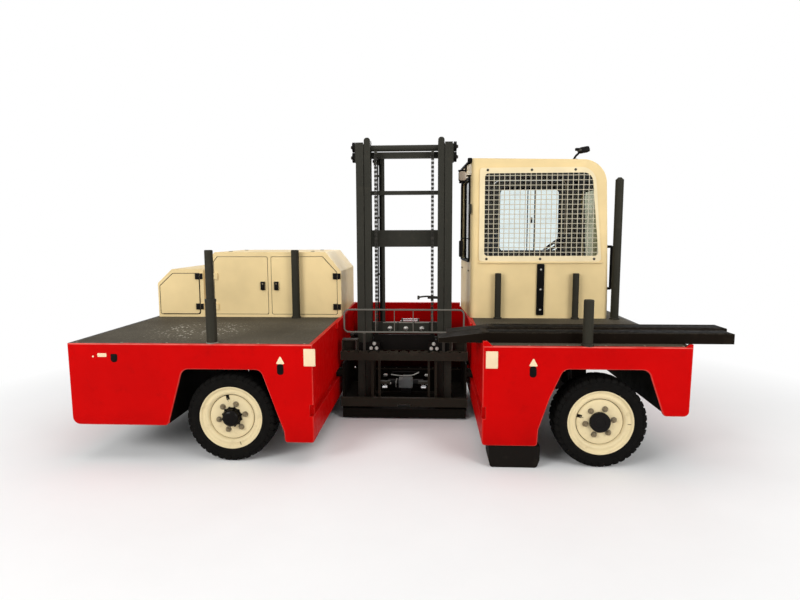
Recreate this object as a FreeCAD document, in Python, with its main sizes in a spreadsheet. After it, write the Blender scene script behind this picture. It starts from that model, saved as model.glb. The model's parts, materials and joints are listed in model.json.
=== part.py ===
import FreeCAD, Part
import Sketcher
import math
import os

# Electric sideloader: two low load decks either side of a well, a traversing mast
# in the well, a half-width cab and two electrics cabinets along the far side.
# Frame: millimetres, +X towards the cab end, -Y the load side, +Z up. The origin
# is on the ground, at the middle of the well's width and of the chassis width.

SIZES = (
    # chassis
    ("left_length", 2520, "well centre to the left end"),
    ("right_length", 2140, "well centre to the cab end"),
    ("chassis_width", 2350, "load side to far side"),
    ("deck_height", 930, "ground to the deck"),
    ("well_width", 1260, "between the two well walls"),
    ("skirt_plate", 12, "thickness of the skirts and end plates"),
    ("top_plate", 14, "thickness of the plate under each deck"),
    ("deck_plate", 8, "thickness of the anti-slip plate"),
    ("rim_width", 30, "painted rim round each deck plate"),
    ("wall_thick", 50, "thickness of a well wall"),
    ("groove_depth", 30, "rail groove, into the well wall"),
    ("groove_low", 380, "ground to the rail groove's floor"),
    ("groove_tall", 90, "height of the rail groove"),
    ("edge_round", 11, "rounding of the skirts' outer edges"),
    ("wall_clear", 1, "gap round a plate let into the rim"),
    ("skirt_foot", 292, "ground to the left skirt's lower edge"),
    ("leg_foot", 172, "ground to the legs beside the well"),
    ("left_arch_top", 735, "ground to the left arch"),
    ("right_arch_top", 760, "ground to the right arch"),
    ("tail_foot", 416, "ground to the skirt behind the right arch"),
    ("rear_wall_top", 975, "ground to the top of the far cross wall"),
    ("rear_wall_foot", 230, "ground to the foot of the far cross wall"),
    ("rear_wall_thick", 60, "thickness of the far cross wall"),
    ("gusset_length", 1240, "sloping side plates of the far cross wall"),
    ("gusset_thick", 18, "thickness of those side plates"),
    ("lug_tall", 39, "raised corner lugs of the right deck"),
    # wheels
    ("left_axle_out", 1285, "well centre to the drive axle"),
    ("right_axle_out", 1516, "well centre to the steered axle"),
    ("tyre_radius", 345, "outside of the tyre"),
    ("tyre_width", 220, "section width of the tyre"),
    ("rim_radius", 245, "outside of the rim flange"),
    ("bead_radius", 226, "seat of the tyre on the rim"),
    ("wheel_inset", 40, "skirt face to the tyre's outer side"),
    ("stub_radius", 40, "stub axle in the wheel hub"),
    ("stud_circle", 205, "pitch circle of the wheel studs"),
    ("axle_radius", 75, "axle tube"),
    ("kingpin_inset", 75, "tyre's inner side to the kingpin"),
    ("kingpin_radius", 25, "kingpin"),
    ("knuckle_tall", 120, "steering knuckle between its two ears"),
    ("ear_thick", 30, "each ear of the axle's yoke"),
    ("running_gap", 0.4, "radial gap between a shaft and its bore"),
    ("seat_gap", 0.3, "gap at rest between pieces that bear on each other"),
    # mast
    ("mast_half", 450, "mast centre to the outer face of the mast"),
    ("rail_width", 70, "outer upright, across the mast"),
    ("rail_depth", 160, "outer upright, along the travel"),
    ("rail_wall", 14, "thickness of the uprights' webs and flanges"),
    ("stage_gap", 5, "gap between the outer and the inner upright"),
    ("inner_width", 59, "inner upright, across the mast"),
    ("stage_play", 10, "outer upright's depth past the inner one, at each side"),
    ("mast_front", 70, "middle of the chassis to the mast's front"),
    ("mast_foot", 25, "ground to the foot of the outer mast"),
    ("outer_top", 2595, "ground to the top of the outer uprights"),
    ("inner_top", 2640, "ground to the top of the inner uprights"),
    ("barrel_radius", 38, "lift cylinder barrel"),
    ("rod_radius", 26, "lift cylinder rod"),
    ("chain_out", 265, "mast centre to each lift chain"),
    ("chain_width", 28, "width of a lift chain"),
    ("tilt_axis_high", 110, "ground to the tilt pivot"),
    ("tilt_pin_radius", 25, "tilt pivot pin"),
    # carriage
    ("bar_half", 598, "mast centre to the fork bars' ends"),
    ("bar_thick", 40, "thickness of the fork bars"),
    ("bar_front", -75, "middle of the chassis to the fork bars' face"),
    ("bar_tall", 82, "height of each fork bar"),
    ("lower_bar_low", 125, "ground to the lower fork bar"),
    ("upper_bar_low", 570, "ground to the upper fork bar"),
    ("guard_low", 836, "ground to the backrest's lower rod"),
    ("guard_high", 1048, "ground to the backrest's upper rod"),
    ("guard_half", 560, "mast centre to the backrest's side rod"),
    ("guard_rod", 8, "radius of the backrest's rod"),
    # trolley
    ("trolley_half", 596, "mast centre to the trolley's side plates"),
    ("trolley_back", 760, "middle of the chassis to the trolley's back"),
    ("trolley_front", -60, "middle of the chassis to the trolley's front"),
    ("roller_radius", 44.6, "trolley roller"),
    # cab
    ("cab_left", 590, "well centre to the cab's far mast-side corner"),
    ("cab_near_left", 640, "well centre to the cab's near mast-side corner"),
    ("cab_right", 1965, "well centre to the cab's front"),
    ("cab_near", 249, "middle of the chassis to the cab's load side"),
    ("cab_far", 1150, "middle of the chassis to the cab's door side"),
    ("cab_top", 2467, "ground to the cab roof"),
    ("plate_sheet", 1.5, "thickness of the plates on the skirts"),
    ("guard_sheet", 12, "depth of the window guard's frame"),
    ("guard_wire", 6, "wire of the window guard"),
    ("guard_across", 49.5, "pitch of the window guard's upright wires"),
    ("guard_up", 45.5, "pitch of the window guard's level wires"),
    ("cab_wall", 40, "thickness of the cab's walls"),
    ("door_left", 950, "well centre to the cab door's free edge"),
    ("door_right", 1730, "well centre to the cab door's hinge edge"),
    ("door_low", 985, "ground to the cab door's lower edge"),
    ("door_high", 2330, "ground to the cab door's upper edge"),
    ("door_gap", 5, "gap round a door"),
    ("glass_thick", 6, "thickness of the window panes"),
    # cabinets
    ("cabinet_left", 1940, "well centre to the main cabinet's left side"),
    ("cabinet_right", 632, "well centre to the main cabinet's right side"),
    ("cabinet_top", 1578, "ground to the main cabinet's roof"),
    ("cabinet_sheet", 5, "sheet of the cabinets"),
    ("locker_left", 2488, "well centre to the small cabinet's left side"),
    ("locker_right", 2018, "well centre to the small cabinet's right side"),
    ("locker_top", 1411, "ground to the small cabinet's roof"),
    # loose fork sleeves
    ("sleeve_length", 2180, "fork sleeve"),
    ("sleeve_width", 190, "fork sleeve"),
    ("sleeve_tall", 76, "fork sleeve"),
    ("sleeve_wall", 8, "fork sleeve"),
    ("sleeve_start", 310, "well centre to the first sleeve's tip"),
    ("sleeve_shift", 70, "how far the second sleeve lies further right"),
)


class Size:
    """A length with its number and the spreadsheet formula that gives it."""

    def __init__(self, number, formula):
        self.number = float(number)
        self.formula = formula

    def _join(self, other, sign, number):
        text = other.formula if isinstance(other, Size) else repr(float(other))
        return Size(number, "(" + self.formula + " " + sign + " " + text + ")")

    def __add__(self, other):
        return self._join(other, "+", self.number + number_of(other))

    def __sub__(self, other):
        return self._join(other, "-", self.number - number_of(other))

    def __mul__(self, other):
        return self._join(other, "*", self.number * number_of(other))

    def __truediv__(self, other):
        return self._join(other, "/", self.number / number_of(other))

    def __radd__(self, other):
        return size(other) + self

    def __rsub__(self, other):
        return size(other) - self

    def __rmul__(self, other):
        return size(other) * self

    def __neg__(self):
        return size(0) - self


def number_of(value):
    return value.number if isinstance(value, Size) else float(value)


def size(value):
    return value if isinstance(value, Size) else Size(value, repr(float(value)))


doc = FreeCAD.newDocument("Sideloader")
sheet = doc.addObject("Spreadsheet::Sheet", "Sizes")


class Sheet:
    """Gives each named size of the spreadsheet as an attribute."""


at = Sheet()
for row, (alias, number, meaning) in enumerate(SIZES, 1):
    sheet.set("A%d" % row, meaning)
    sheet.set("B%d" % row, str(number))
    sheet.setAlias("B%d" % row, alias)
    setattr(at, alias, Size(number, "Sizes." + alias))
doc.recompute()

X_AXIS = FreeCAD.Vector(1, 0, 0)
Y_AXIS = FreeCAD.Vector(0, 1, 0)
Z_AXIS = FreeCAD.Vector(0, 0, 1)
TURN = {
    "X": FreeCAD.Rotation(Z_AXIS, X_AXIS),
    "Y": FreeCAD.Rotation(Z_AXIS, Y_AXIS),
    "Z": FreeCAD.Rotation(),
}
PLANES = {"XY": "XY_Plane", "XZ": "XZ_Plane", "YZ": "YZ_Plane"}
nodes = []


def place(thing, corner):
    for letter, value in zip("xyz", corner):
        thing.setExpression("Placement.Base." + letter, size(value).formula)


def box(name, corner, lengths):
    """A block from its lowest corner and its three lengths."""
    thing = doc.addObject("Part::Box", name)
    for side, value in zip(("Length", "Width", "Height"), lengths):
        thing.setExpression(side, size(value).formula)
    place(thing, corner)
    return thing


def rod(name, axis, base, radius, length):
    """A cylinder along X, Y or Z that starts at its base."""
    thing = doc.addObject("Part::Cylinder", name)
    thing.setExpression("Radius", size(radius).formula)
    thing.setExpression("Height", size(length).formula)
    thing.Placement = FreeCAD.Placement(FreeCAD.Vector(), TURN[axis])
    place(thing, base)
    return thing


def fuse(name, *pieces):
    thing = doc.addObject("Part::MultiFuse", name)
    thing.Shapes = list(pieces)
    return thing


def cut(name, base, *tools):
    thing = doc.addObject("Part::Cut", name)
    thing.Base = base
    thing.Tool = tools[0] if len(tools) == 1 else fuse(name + "_tools", *tools)
    return thing


def group(name, *pieces):
    """Separate solids that are one sub-part."""
    thing = doc.addObject("Part::Compound", name)
    thing.Links = list(pieces)
    return thing


def outline(body, plane, points):
    """A closed sketch whose corners are held by the spreadsheet."""
    sketch = body.newObject("Sketcher::SketchObject", body.Name + "_sketch")
    feature = [f for f in body.Origin.OriginFeatures if f.Role == PLANES[plane]][0]
    sketch.AttachmentSupport = [(feature, "")]
    sketch.MapMode = "FlatFace"
    corners = [FreeCAD.Vector(number_of(a), number_of(b), 0) for a, b in points]
    count = len(corners)
    for index in range(count):
        line = Part.LineSegment(corners[index], corners[(index + 1) % count])
        sketch.addGeometry(line, False)
    for index in range(count):
        after = (index + 1) % count
        sketch.addConstraint(Sketcher.Constraint("Coincident", index, 2, after, 1))
    for index, pair in enumerate(points):
        for kind, value in zip(("DistanceX", "DistanceY"), pair):
            held = Sketcher.Constraint(kind, -1, 1, index, 1, number_of(value))
            row = sketch.addConstraint(held)
            sketch.setExpression("Constraints[%d]" % row, size(value).formula)
    return sketch


def near_point(vertex, plane, point):
    place_in_plane = {
        "XY": (vertex.X, vertex.Y), "XZ": (vertex.X, vertex.Z), "YZ": (vertex.Y, vertex.Z),
    }[plane]
    gap = [abs(a - number_of(b)) for a, b in zip(place_in_plane, point)]
    return max(gap) < 0.01


def fillet(body, feature, edges, radius):
    rounded = body.newObject("PartDesign::Fillet", body.Name + "_round")
    rounded.Base = (feature, edges)
    rounded.setExpression("Radius", size(radius).formula)
    return rounded


def prism(name, plane, points, depth, corner, rounds=(), perimeter=None):
    """An outline padded by depth. rounds gives (radius, corner numbers), and
    perimeter rounds the edges of both end faces."""
    body = doc.addObject("PartDesign::Body", name)
    sketch = outline(body, plane, points)
    pad = body.newObject("PartDesign::Pad", name + "_pad")
    pad.Profile = sketch
    pad.setExpression("Length", size(depth).formula)
    pad.Reversed = plane == "XZ"
    doc.recompute()
    tip = pad
    for radius, corners in rounds:
        edges = []
        for number, edge in enumerate(body.Shape.Edges, 1):
            ends = edge.Vertexes
            for index in corners:
                if len(ends) == 2 and all(near_point(v, plane, points[index]) for v in ends):
                    edges.append("Edge%d" % number)
        tip = fillet(body, tip, edges, radius)
        doc.recompute()
    if perimeter is not None:
        normal = {"XY": "z", "XZ": "y", "YZ": "x"}[plane]
        edges = []
        for number, edge in enumerate(body.Shape.Edges, 1):
            levels = [getattr(v.Point, normal) for v in edge.Vertexes]
            flat = max(levels) - min(levels) < 0.01
            if flat and edge.Length > 0.01:
                edges.append("Edge%d" % number)
        tip = fillet(body, tip, edges, perimeter)
        doc.recompute()
    place(body, corner)
    return body


def turned(name, points, centre):
    """A ring or disc turned about the Y direction: points are (along, radius)."""
    body = doc.addObject("PartDesign::Body", name)
    sketch = outline(body, "YZ", points)
    ring = body.newObject("PartDesign::Revolution", name + "_ring")
    ring.Profile = sketch
    ring.ReferenceAxis = (sketch, ["H_Axis"])
    ring.Angle = 360
    doc.recompute()
    place(body, centre)
    return body


def node(name, thing):
    thing.Label = name
    nodes.append(thing)
    return thing


half_width = at.chassis_width / 2
well_half = at.well_width / 2
near_face = -half_width


# ---------------------------------------------------------------- chassis units

def deck_unit(name, left, right, skirt, rounds):
    """A unit's outside, a prism of the skirt's outline, and the hollow under it."""
    shell = prism(name + "_skirt", "XZ", skirt, at.chassis_width, (0, near_face, 0),
                  rounds, at.edge_round)
    plate_under = at.deck_height - at.deck_plate - at.top_plate
    hollow = box(name + "_hollow", (left, near_face + at.skirt_plate, 0),
                 (right - left, at.chassis_width - 2 * at.skirt_plate, plate_under))
    return shell, hollow


def frame_left():
    left = -at.left_length
    right = -well_half
    arch = at.left_arch_top
    skirt = (
        (left, at.deck_height), (left + 4, at.skirt_foot),
        (-at.left_axle_out - 474, at.skirt_foot), (-at.left_axle_out - 345, arch),
        (-at.left_axle_out + 255, arch), (-at.left_axle_out + 423, at.leg_foot + 83),
        (-at.left_axle_out + 430, at.leg_foot), (right, at.leg_foot),
        (right, at.deck_height),
    )
    rounds = ((60, (1, 3, 4)), (40, (2,)), (22, (6, 7)))
    shell, hollow = deck_unit("frame_left", left + 15 + at.skirt_plate,
                              right - at.wall_thick, skirt, rounds)
    recess = box("frame_left_recess",
                 (left + at.rim_width, near_face + at.rim_width,
                  at.deck_height - at.deck_plate),
                 (at.left_length - well_half - 2 * at.rim_width,
                  at.chassis_width - 2 * at.rim_width, at.deck_plate))
    groove = box("frame_left_groove", (right - at.groove_depth, near_face, at.groove_low),
                 (at.groove_depth, at.chassis_width, at.groove_tall))
    hollowed = cut("frame_left_hollowed", shell, hollow, recess, groove)
    ribs = bulkheads("frame_left", (left + 760, -at.left_axle_out + 440),
                     at.skirt_foot)
    stop = box("frame_left_stop", (right - at.groove_depth, near_face + 40, at.groove_low),
               (at.groove_depth - 4, 30, at.groove_tall))
    node("frame_left", fuse("frame_left", hollowed, stop, *ribs))


def bulkheads(name, places, foot):
    """Cross plates under the deck, either side of the wheels."""
    plate_under = at.deck_height - at.deck_plate - at.top_plate
    plates = []
    for number, along in enumerate(places):
        plates.append(box("%s_rib%d" % (name, number),
                          (along, near_face + at.skirt_plate / 2, foot + 20),
                          (12, at.chassis_width - at.skirt_plate, plate_under - foot - 16)))
    return plates


def frame_right():
    left = well_half
    right = at.right_length
    arch = at.right_arch_top
    axle = at.right_axle_out
    skirt = (
        (left + 4, at.deck_height), (left + 4, at.leg_foot + 3), (axle - 473, at.leg_foot + 3),
        (axle - 466, at.leg_foot + 130), (axle - 386, 545), (axle - 291, arch),
        (axle + 314, arch), (axle + 434, at.tail_foot), (right - 6, at.tail_foot),
        (right, at.deck_height),
    )
    rounds = ((60, (5, 6)), (40, (7, 8)), (24, (1, 2)))
    shell, hollow = deck_unit("frame_right", left + at.wall_thick,
                              right - 20 - at.skirt_plate, skirt, rounds)
    recess = box("frame_right_recess",
                 (left + at.rim_width, near_face + at.rim_width,
                  at.deck_height - at.deck_plate),
                 (at.right_length - well_half - 2 * at.rim_width,
                  at.chassis_width - 2 * at.rim_width, at.deck_plate))
    groove = box("frame_right_groove", (left, near_face, at.groove_low),
                 (at.groove_depth, at.chassis_width, at.groove_tall))
    hollowed = cut("frame_right_hollowed", shell, hollow, recess, groove)
    ribs = bulkheads("frame_right", (axle - 485, axle + 440), at.tail_foot)
    stop = box("frame_right_stop", (left + 4, near_face + 40, at.groove_low),
               (at.groove_depth - 4, 30, at.groove_tall))
    lugs = [corner_lug("frame_right_lug_well", left + 4, 1, 75, at.lug_tall),
            corner_lug("frame_right_lug_end", right - 3, -1, 55, at.lug_tall - 15)]
    guide = tube_square("frame_right_guide", (left + 230, near_face + 140), 140, 8, 380,
                        at.deck_height - at.deck_plate - at.top_plate)
    node("frame_right", fuse("frame_right", hollowed, stop, guide, *(ribs + lugs)))


def tube_square(name, centre, width, wall, low, high):
    """An upright square tube, open below."""
    across, along = centre
    outside = box(name + "_out", (across - width / 2, along - width / 2, low),
                  (width, width, high - low))
    inside = box(name + "_in", (across - width / 2 + wall, along - width / 2 + wall, low),
                 (width - 2 * wall, width - 2 * wall, high - low))
    return cut(name, outside, inside)


def corner_lug(name, across, sign, long, tall):
    """A raised lug at a deck corner, sloping down along the deck's edge."""
    points = ((0, 0), (sign * long, 0), (sign * 0.42 * long, tall), (0, tall))
    return prism(name, "XZ", points, at.rim_width - 3,
                 (across, near_face + 3, at.deck_height - 3))


def frame_rear():
    """The far cross wall that joins both units, with its sloping side plates."""
    inside = half_width - at.rear_wall_thick
    wall = box("rear_wall", (-well_half, inside, at.rear_wall_foot),
               (at.well_width, at.rear_wall_thick, at.rear_wall_top - at.rear_wall_foot))
    plates = [wall]
    low = 880
    points = ((0, low), (at.gusset_length, low), (at.gusset_length, at.rear_wall_top),
              (0, at.deck_height + 2))
    for side, across in (("left", -well_half), ("right", well_half - at.gusset_thick)):
        plates.append(prism("rear_gusset_" + side, "YZ", points, at.gusset_thick,
                            (across, inside - at.gusset_length, 0)))
    cab_seat = box("rear_cab_seat", (at.cab_left - 6, at.cab_near - 6,
                                     at.deck_height - at.seat_gap),
                   (100, half_width, 100))
    node("frame_rear", cut("frame_rear", fuse("rear_plates", *plates), cab_seat))


def decks():
    depth = at.chassis_width - 2 * at.rim_width - 2 * at.wall_clear
    for side, left, right in (("left", -at.left_length, -well_half),
                              ("right", well_half, at.right_length)):
        corner = (left + at.rim_width + at.wall_clear,
                  near_face + at.rim_width + at.wall_clear,
                  at.deck_height - at.deck_plate)
        length = right - left - 2 * at.rim_width - 2 * at.wall_clear
        node("deck_" + side, box("deck_" + side, corner, (length, depth, at.deck_plate)))


def skirt_plates():
    """Marker lamps, blank plates and slot covers that lie on both long skirts."""
    thick = at.plate_sheet
    plates = []
    for side_name, along in (("near", near_face - thick), ("far", half_width)):
        name = "plate_" + side_name
        plates.append(rod(name + "_lamp", "Y", (-2155, along, 819), 26, thick))
        for number, (across, level, wide, tall) in enumerate((
                (-2283, 827, 70, 28), (-899, 698, 48, 80), (978, 702, 48, 80),
                (-697, 768, 88, 130), (656, 764, 88, 130))):
            plates.append(box("%s_%d" % (name, number), (across, along, level),
                              (wide, thick, tall)))
        for number, across in enumerate((-875, 1002)):
            corners = ((across - 30, 786), (across + 30, 786), (across, 838))
            plates.append(prism("%s_sign%d" % (name, number), "XZ", corners, thick,
                                (0, along, 0), ((5, (0, 1, 2)),)))
    node("skirt_plates", group("skirt_plates", *plates))


# ------------------------------------------------------------------------ axles

tyre_outer = half_width - at.wheel_inset
tyre_inner = tyre_outer - at.tyre_width
kingpin_out = tyre_inner - at.kingpin_inset
plate_under = at.deck_height - at.deck_plate - at.top_plate
HUB_DEPTH = 62
HUB_FACE = 40


def hangers(name, across, low):
    """Two blocks that carry an axle from the plate under the deck."""
    blocks = []
    for number, along in enumerate((-480, 360)):
        blocks.append(box("%s_hanger%d" % (name, number), (across - 60, along, low),
                          (120, 120, plate_under - low)))
    return blocks


def drive_axle():
    across = -at.left_axle_out
    high = at.tyre_radius
    beam_half = tyre_inner - 30
    beam = rod("drive_beam", "Y", (across, -beam_half, high), at.axle_radius, 2 * beam_half)
    housing = rod("drive_housing", "Y", (across, -180, high), 165, 360)
    motor = rod("drive_motor", "X", (across, 0, high), 120, 420)
    reach = tyre_outer - HUB_FACE - 12
    stubs = rod("drive_stubs", "Y", (across, -reach, high), at.stub_radius, 2 * reach)
    blocks = hangers("drive", across, high)
    node("drive_axle", fuse("drive_axle", beam, housing, motor, stubs, *blocks))


def steer_axle():
    across = at.right_axle_out
    high = at.tyre_radius
    half = at.knuckle_tall / 2
    beam_half = kingpin_out - 58
    beam = box("steer_beam", (across - 55, -beam_half, high - 55),
               (110, 2 * beam_half, 110))
    pieces = [beam] + hangers("steer", across, high)
    bores = []
    for sign in (-1, 1):
        side = "near" if sign < 0 else "far"
        for level, low in (("lower", high - half - at.ear_thick), ("upper", high + half)):
            name = "steer_ear_%s_%s" % (side, level)
            pieces.append(rod(name, "Z", (across, sign * kingpin_out, low), 55,
                              at.ear_thick))
            along = sign * kingpin_out if sign < 0 else kingpin_out - 90
            pieces.append(box(name + "_arm", (across - 55, along, low),
                              (110, 90, at.ear_thick)))
        web_low = high - half - at.ear_thick
        along = sign * kingpin_out + (60 if sign < 0 else -90)
        pieces.append(box("steer_web_" + side, (across - 55, along, web_low),
                          (110, 30, at.knuckle_tall + 2 * at.ear_thick)))
        bores.append(rod("steer_bore_" + side, "Z",
                         (across, sign * kingpin_out, high - half - at.ear_thick),
                         at.kingpin_radius + at.running_gap,
                         at.knuckle_tall + 2 * at.ear_thick))
    node("steer_axle", cut("steer_axle", fuse("steer_solid", *pieces), *bores))


def knuckles():
    across = at.right_axle_out
    high = at.tyre_radius
    half = at.knuckle_tall / 2
    for side, sign in (("near", -1), ("far", 1)):
        name = "knuckle_" + side
        pin = rod(name + "_pin", "Z",
                  (across, sign * kingpin_out, high - half - at.ear_thick),
                  at.kingpin_radius, at.knuckle_tall + 2 * at.ear_thick)
        core = rod(name + "_core", "Z",
                   (across, sign * kingpin_out, high - half + at.seat_gap), 46,
                   at.knuckle_tall - 2)
        reach = tyre_outer - HUB_FACE - 12 - kingpin_out
        start = sign * kingpin_out if sign > 0 else -kingpin_out - reach
        stub = rod(name + "_stub", "Y", (across, start, high), at.stub_radius, reach)
        node(name, fuse(name, pin, core, stub))


# ----------------------------------------------------------------------- wheels

def wheel(corner_name, across, sign):
    """A tyre and its rim; sign is -1 on the load side and +1 on the far side."""
    width = at.tyre_width

    def along(depth):
        return -sign * size(depth)

    tread = at.tyre_radius
    bead = at.bead_radius
    lip = at.rim_radius
    tyre_points = (
        (along(26), bead), (along(17), lip + 3), (along(0), lip + 20),
        (along(0), tread - 45), (along(10), tread - 8), (along(26), tread),
        (along(width - 26), tread), (along(width - 10), tread - 8),
        (along(width), tread - 45), (along(width), lip + 20),
        (along(width - 17), lip + 3), (along(width - 26), bead),
    )
    hub_bore = at.stub_radius + at.running_gap
    rim_points = (
        (along(HUB_FACE), hub_bore), (along(HUB_FACE), 168), (along(12), 182),
        (along(8), lip - 4), (along(12), lip), (along(18), lip), (along(24), bead - 1),
        (along(width - 24), bead - 1), (along(width - 18), lip), (along(width - 8), lip),
        (along(width - 8), lip - 12), (along(width - 14), bead - 18),
        (along(40), bead - 18), (along(HUB_FACE + 16), 190),
        (along(HUB_FACE + 16), 88), (along(HUB_FACE + HUB_DEPTH), 88),
        (along(HUB_FACE + HUB_DEPTH), hub_bore),
    )
    centre = (across, sign * tyre_outer, at.tyre_radius)
    node("tyre_" + corner_name, turned("tyre_" + corner_name, tyre_points, centre))
    disc = turned("rim_disc_" + corner_name, rim_points, centre)
    face = tyre_outer - HUB_FACE
    start = sign * (face - 6) if sign > 0 else -face - 22
    cap_start = sign * face if sign > 0 else -face - 34
    pieces = [disc, rod("hub_cap_" + corner_name, "Y",
                        (across, cap_start, at.tyre_radius), 74, 34)]
    for number in range(6):
        angle = math.radians(30 + 60 * number)
        pieces.append(rod("stud%d_%s" % (number, corner_name), "Y",
                          (across + at.stud_circle / 2 * math.cos(angle), start,
                           at.tyre_radius + at.stud_circle / 2 * math.sin(angle)),
                          14, 28))
    node("rim_" + corner_name, fuse("rim_" + corner_name, *pieces))


# --------------------------------------------------------------- cabinets, doors

def cabinet_main():
    left = -at.cabinet_left
    right = -at.cabinet_right
    base = at.deck_height
    top = at.cabinet_top
    sheet_thick = at.cabinet_sheet
    points = ((left, base), (right, base), (right, base + 456), (right - 152, top),
              (left + 45, top), (left, top - 50))
    inner = ((left + sheet_thick, base), (right - sheet_thick, base),
             (right - sheet_thick, base + 455), (right - 154, top - sheet_thick),
             (left + 47, top - sheet_thick), (left + sheet_thick, top - 52))
    depth = at.cab_far - at.cab_near
    shell = prism("cabinet_main_shell", "XZ", points, depth, (0, at.cab_near, 0),
                  ((22, (2, 3, 4, 5)),))
    hollow = prism("cabinet_main_hollow", "XZ", inner, depth - 2 * sheet_thick,
                   (0, at.cab_near + sheet_thick, 0), ((18, (2, 3, 4, 5)),))
    holes = [door_panel("main_hole1", MAIN_DOOR, at.cab_near - 5, 30, at.door_gap),
             door_panel("main_hole2", FIXED_DOOR, at.cab_near - 5, 30, at.door_gap)]
    leaves = hinged_door("battery_door", MAIN_DOOR, 1)[1]
    leaves += hinged_door("service_door", FIXED_DOOR, -1)[1]
    walls = cut("cabinet_main_walls", shell, hollow, *holes)
    node("cabinet_main", fuse("cabinet_main", walls, *leaves))
    node("battery", box("battery", (left + 70, at.cab_near + 70, base),
                        (right - left - 170, depth - 140, 545)))


door_base = at.deck_height + 32
door_top = at.cabinet_top - 48
MAIN_DOOR = (
    (-at.cabinet_left + 34, door_base), (-at.cabinet_left + 573, door_base),
    (-at.cabinet_left + 573, door_top), (-at.cabinet_left + 72, door_top),
    (-at.cabinet_left + 34, door_top - 48),
)
FIXED_DOOR = (
    (-at.cabinet_left + 613, door_base), (-at.cabinet_right - 44, door_base),
    (-at.cabinet_right - 44, door_top - 156), (-at.cabinet_right - 184, door_top),
    (-at.cabinet_left + 613, door_top),
)
LOCKER_DOOR = (
    (-at.locker_left + 22, door_base), (-at.locker_right - 45, door_base),
    (-at.locker_right - 45, at.locker_top - 45), (-at.locker_left + 160, at.locker_top - 45),
    (-at.locker_left + 22, at.locker_top - 170),
)


def door_panel(name, corners, along, thick, grow):
    """A flat door, or its opening when it grows by the gap round the door."""
    middle = [sum(number_of(c[i]) for c in corners) / len(corners) for i in (0, 1)]
    grown = []
    for point in corners:
        grown.append(tuple(
            value + (grow if number_of(value) > middle[i] else -grow)
            for i, value in enumerate(point)))
    return prism(name, "XZ", grown, thick, (0, along, 0), ((16, range(len(corners))),))


HINGE_HEIGHTS = (105, 409)


def hinge(name, edge, face, level, inward, outward):
    """A block hinge at a door's edge: the door's half with its pin, and the fixed leaf.
    inward is the side of the door along X, outward the side of the face along Y."""
    pin_along = face + outward * 7
    pin = rod(name + "_pin", "Z", (edge, pin_along, level - 32), 7, 64)
    first = edge + (2 if inward > 0 else -36)
    front = face + (outward * 14 if outward < 0 else outward)
    block = box(name + "_block", (first, front, level - 30), (34, 13, 60))
    leaf_first = edge + (-42 if inward > 0 else 7.4)
    leaf = box(name + "_leaf", (leaf_first, face + (0 if outward > 0 else -8), level - 30),
               (34.6, 8, 60))
    return (pin, block), leaf


def hinged_door(name, corners, inward, handled=True):
    """A cabinet door, 1 mm proud; its leaves stay on the cabinet."""
    panel = door_panel(name + "_panel", corners, at.cab_near - 1, 20, 0)
    across = sorted((c[0] for c in corners), key=number_of)
    edge, free = (across[0], across[-1]) if inward > 0 else (across[-1], across[0])
    pieces = [panel]
    leaves = []
    for number, height in enumerate(HINGE_HEIGHTS):
        door_half, leaf = hinge("%s_hinge%d" % (name, number), edge, at.cab_near,
                                at.deck_height + height, inward, -1)
        pieces.extend(door_half)
        leaves.append(leaf)
    handle_left = free + (-68 if inward > 0 else 28)
    if handled:
        pieces.append(box(name + "_handle", (handle_left, at.cab_near - 15, door_base + 240),
                          (40, 14, 84)))
    return node(name, fuse(name, *pieces)), leaves


def cabinet_small():
    left = -at.locker_left
    right = -at.locker_right
    base = at.deck_height
    top = at.locker_top
    sheet_thick = at.cabinet_sheet
    points = ((left, base), (right, base), (right, top), (left + 151, top),
              (left, top - 141))
    inner = ((left + sheet_thick, base), (right - sheet_thick, base),
             (right - sheet_thick, top - sheet_thick), (left + 153, top - sheet_thick),
             (left + sheet_thick, top - 143))
    depth = at.cab_far - at.cab_near
    shell = prism("cabinet_small_shell", "XZ", points, depth, (0, at.cab_near, 0),
                  ((25, (2, 3, 4)),))
    hollow = prism("cabinet_small_hollow", "XZ", inner, depth - 2 * sheet_thick,
                   (0, at.cab_near + sheet_thick, 0), ((20, (2, 3, 4)),))
    hole = door_panel("locker_hole", LOCKER_DOOR, at.cab_near - 5, 30, at.door_gap)
    leaves = hinged_door("locker_door", LOCKER_DOOR, -1, False)[1]
    walls = cut("cabinet_small_walls", shell, hollow, hole)
    node("cabinet_small", fuse("cabinet_small", walls, *leaves))


# -------------------------------------------------------------------------- cab

def cab_block(name, inset, floor):
    """The cab's outside, or its inside when inset: side outline and plan in common."""
    side = ((at.cab_left + inset, floor), (at.cab_right - inset, floor),
            (at.cab_right - 5 - inset, 1110), (at.cab_right - 65 - inset, at.cab_top - 25 - inset),
            (at.cab_left + inset, at.cab_top - inset))
    plan = ((at.cab_near_left + inset, at.cab_near + inset),
            (at.cab_right - inset, at.cab_near + inset),
            (at.cab_right - inset, at.cab_far - inset), (at.cab_left + inset, at.cab_far - inset))
    side_solid = prism(name + "_side", "XZ", side, 1100, (0, at.cab_near - 50, 0),
                       ((230, (3,)), (45, (4,))))
    plan_solid = prism(name + "_plan", "XY", plan, at.cab_top, (0, 0, floor - 10),
                       ((45, (0, 1, 2, 3)),))
    thing = doc.addObject("Part::MultiCommon", name)
    thing.Shapes = [side_solid, plan_solid]
    return thing


def frame_of(name, plane, points, along, depth, radius):
    """A rounded prism that cuts a window or holds its glass."""
    corner = (0, along, 0) if plane == "XZ" else (along, 0, 0)
    return prism(name, plane, points, depth, corner, ((radius, range(len(points))),))


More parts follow.
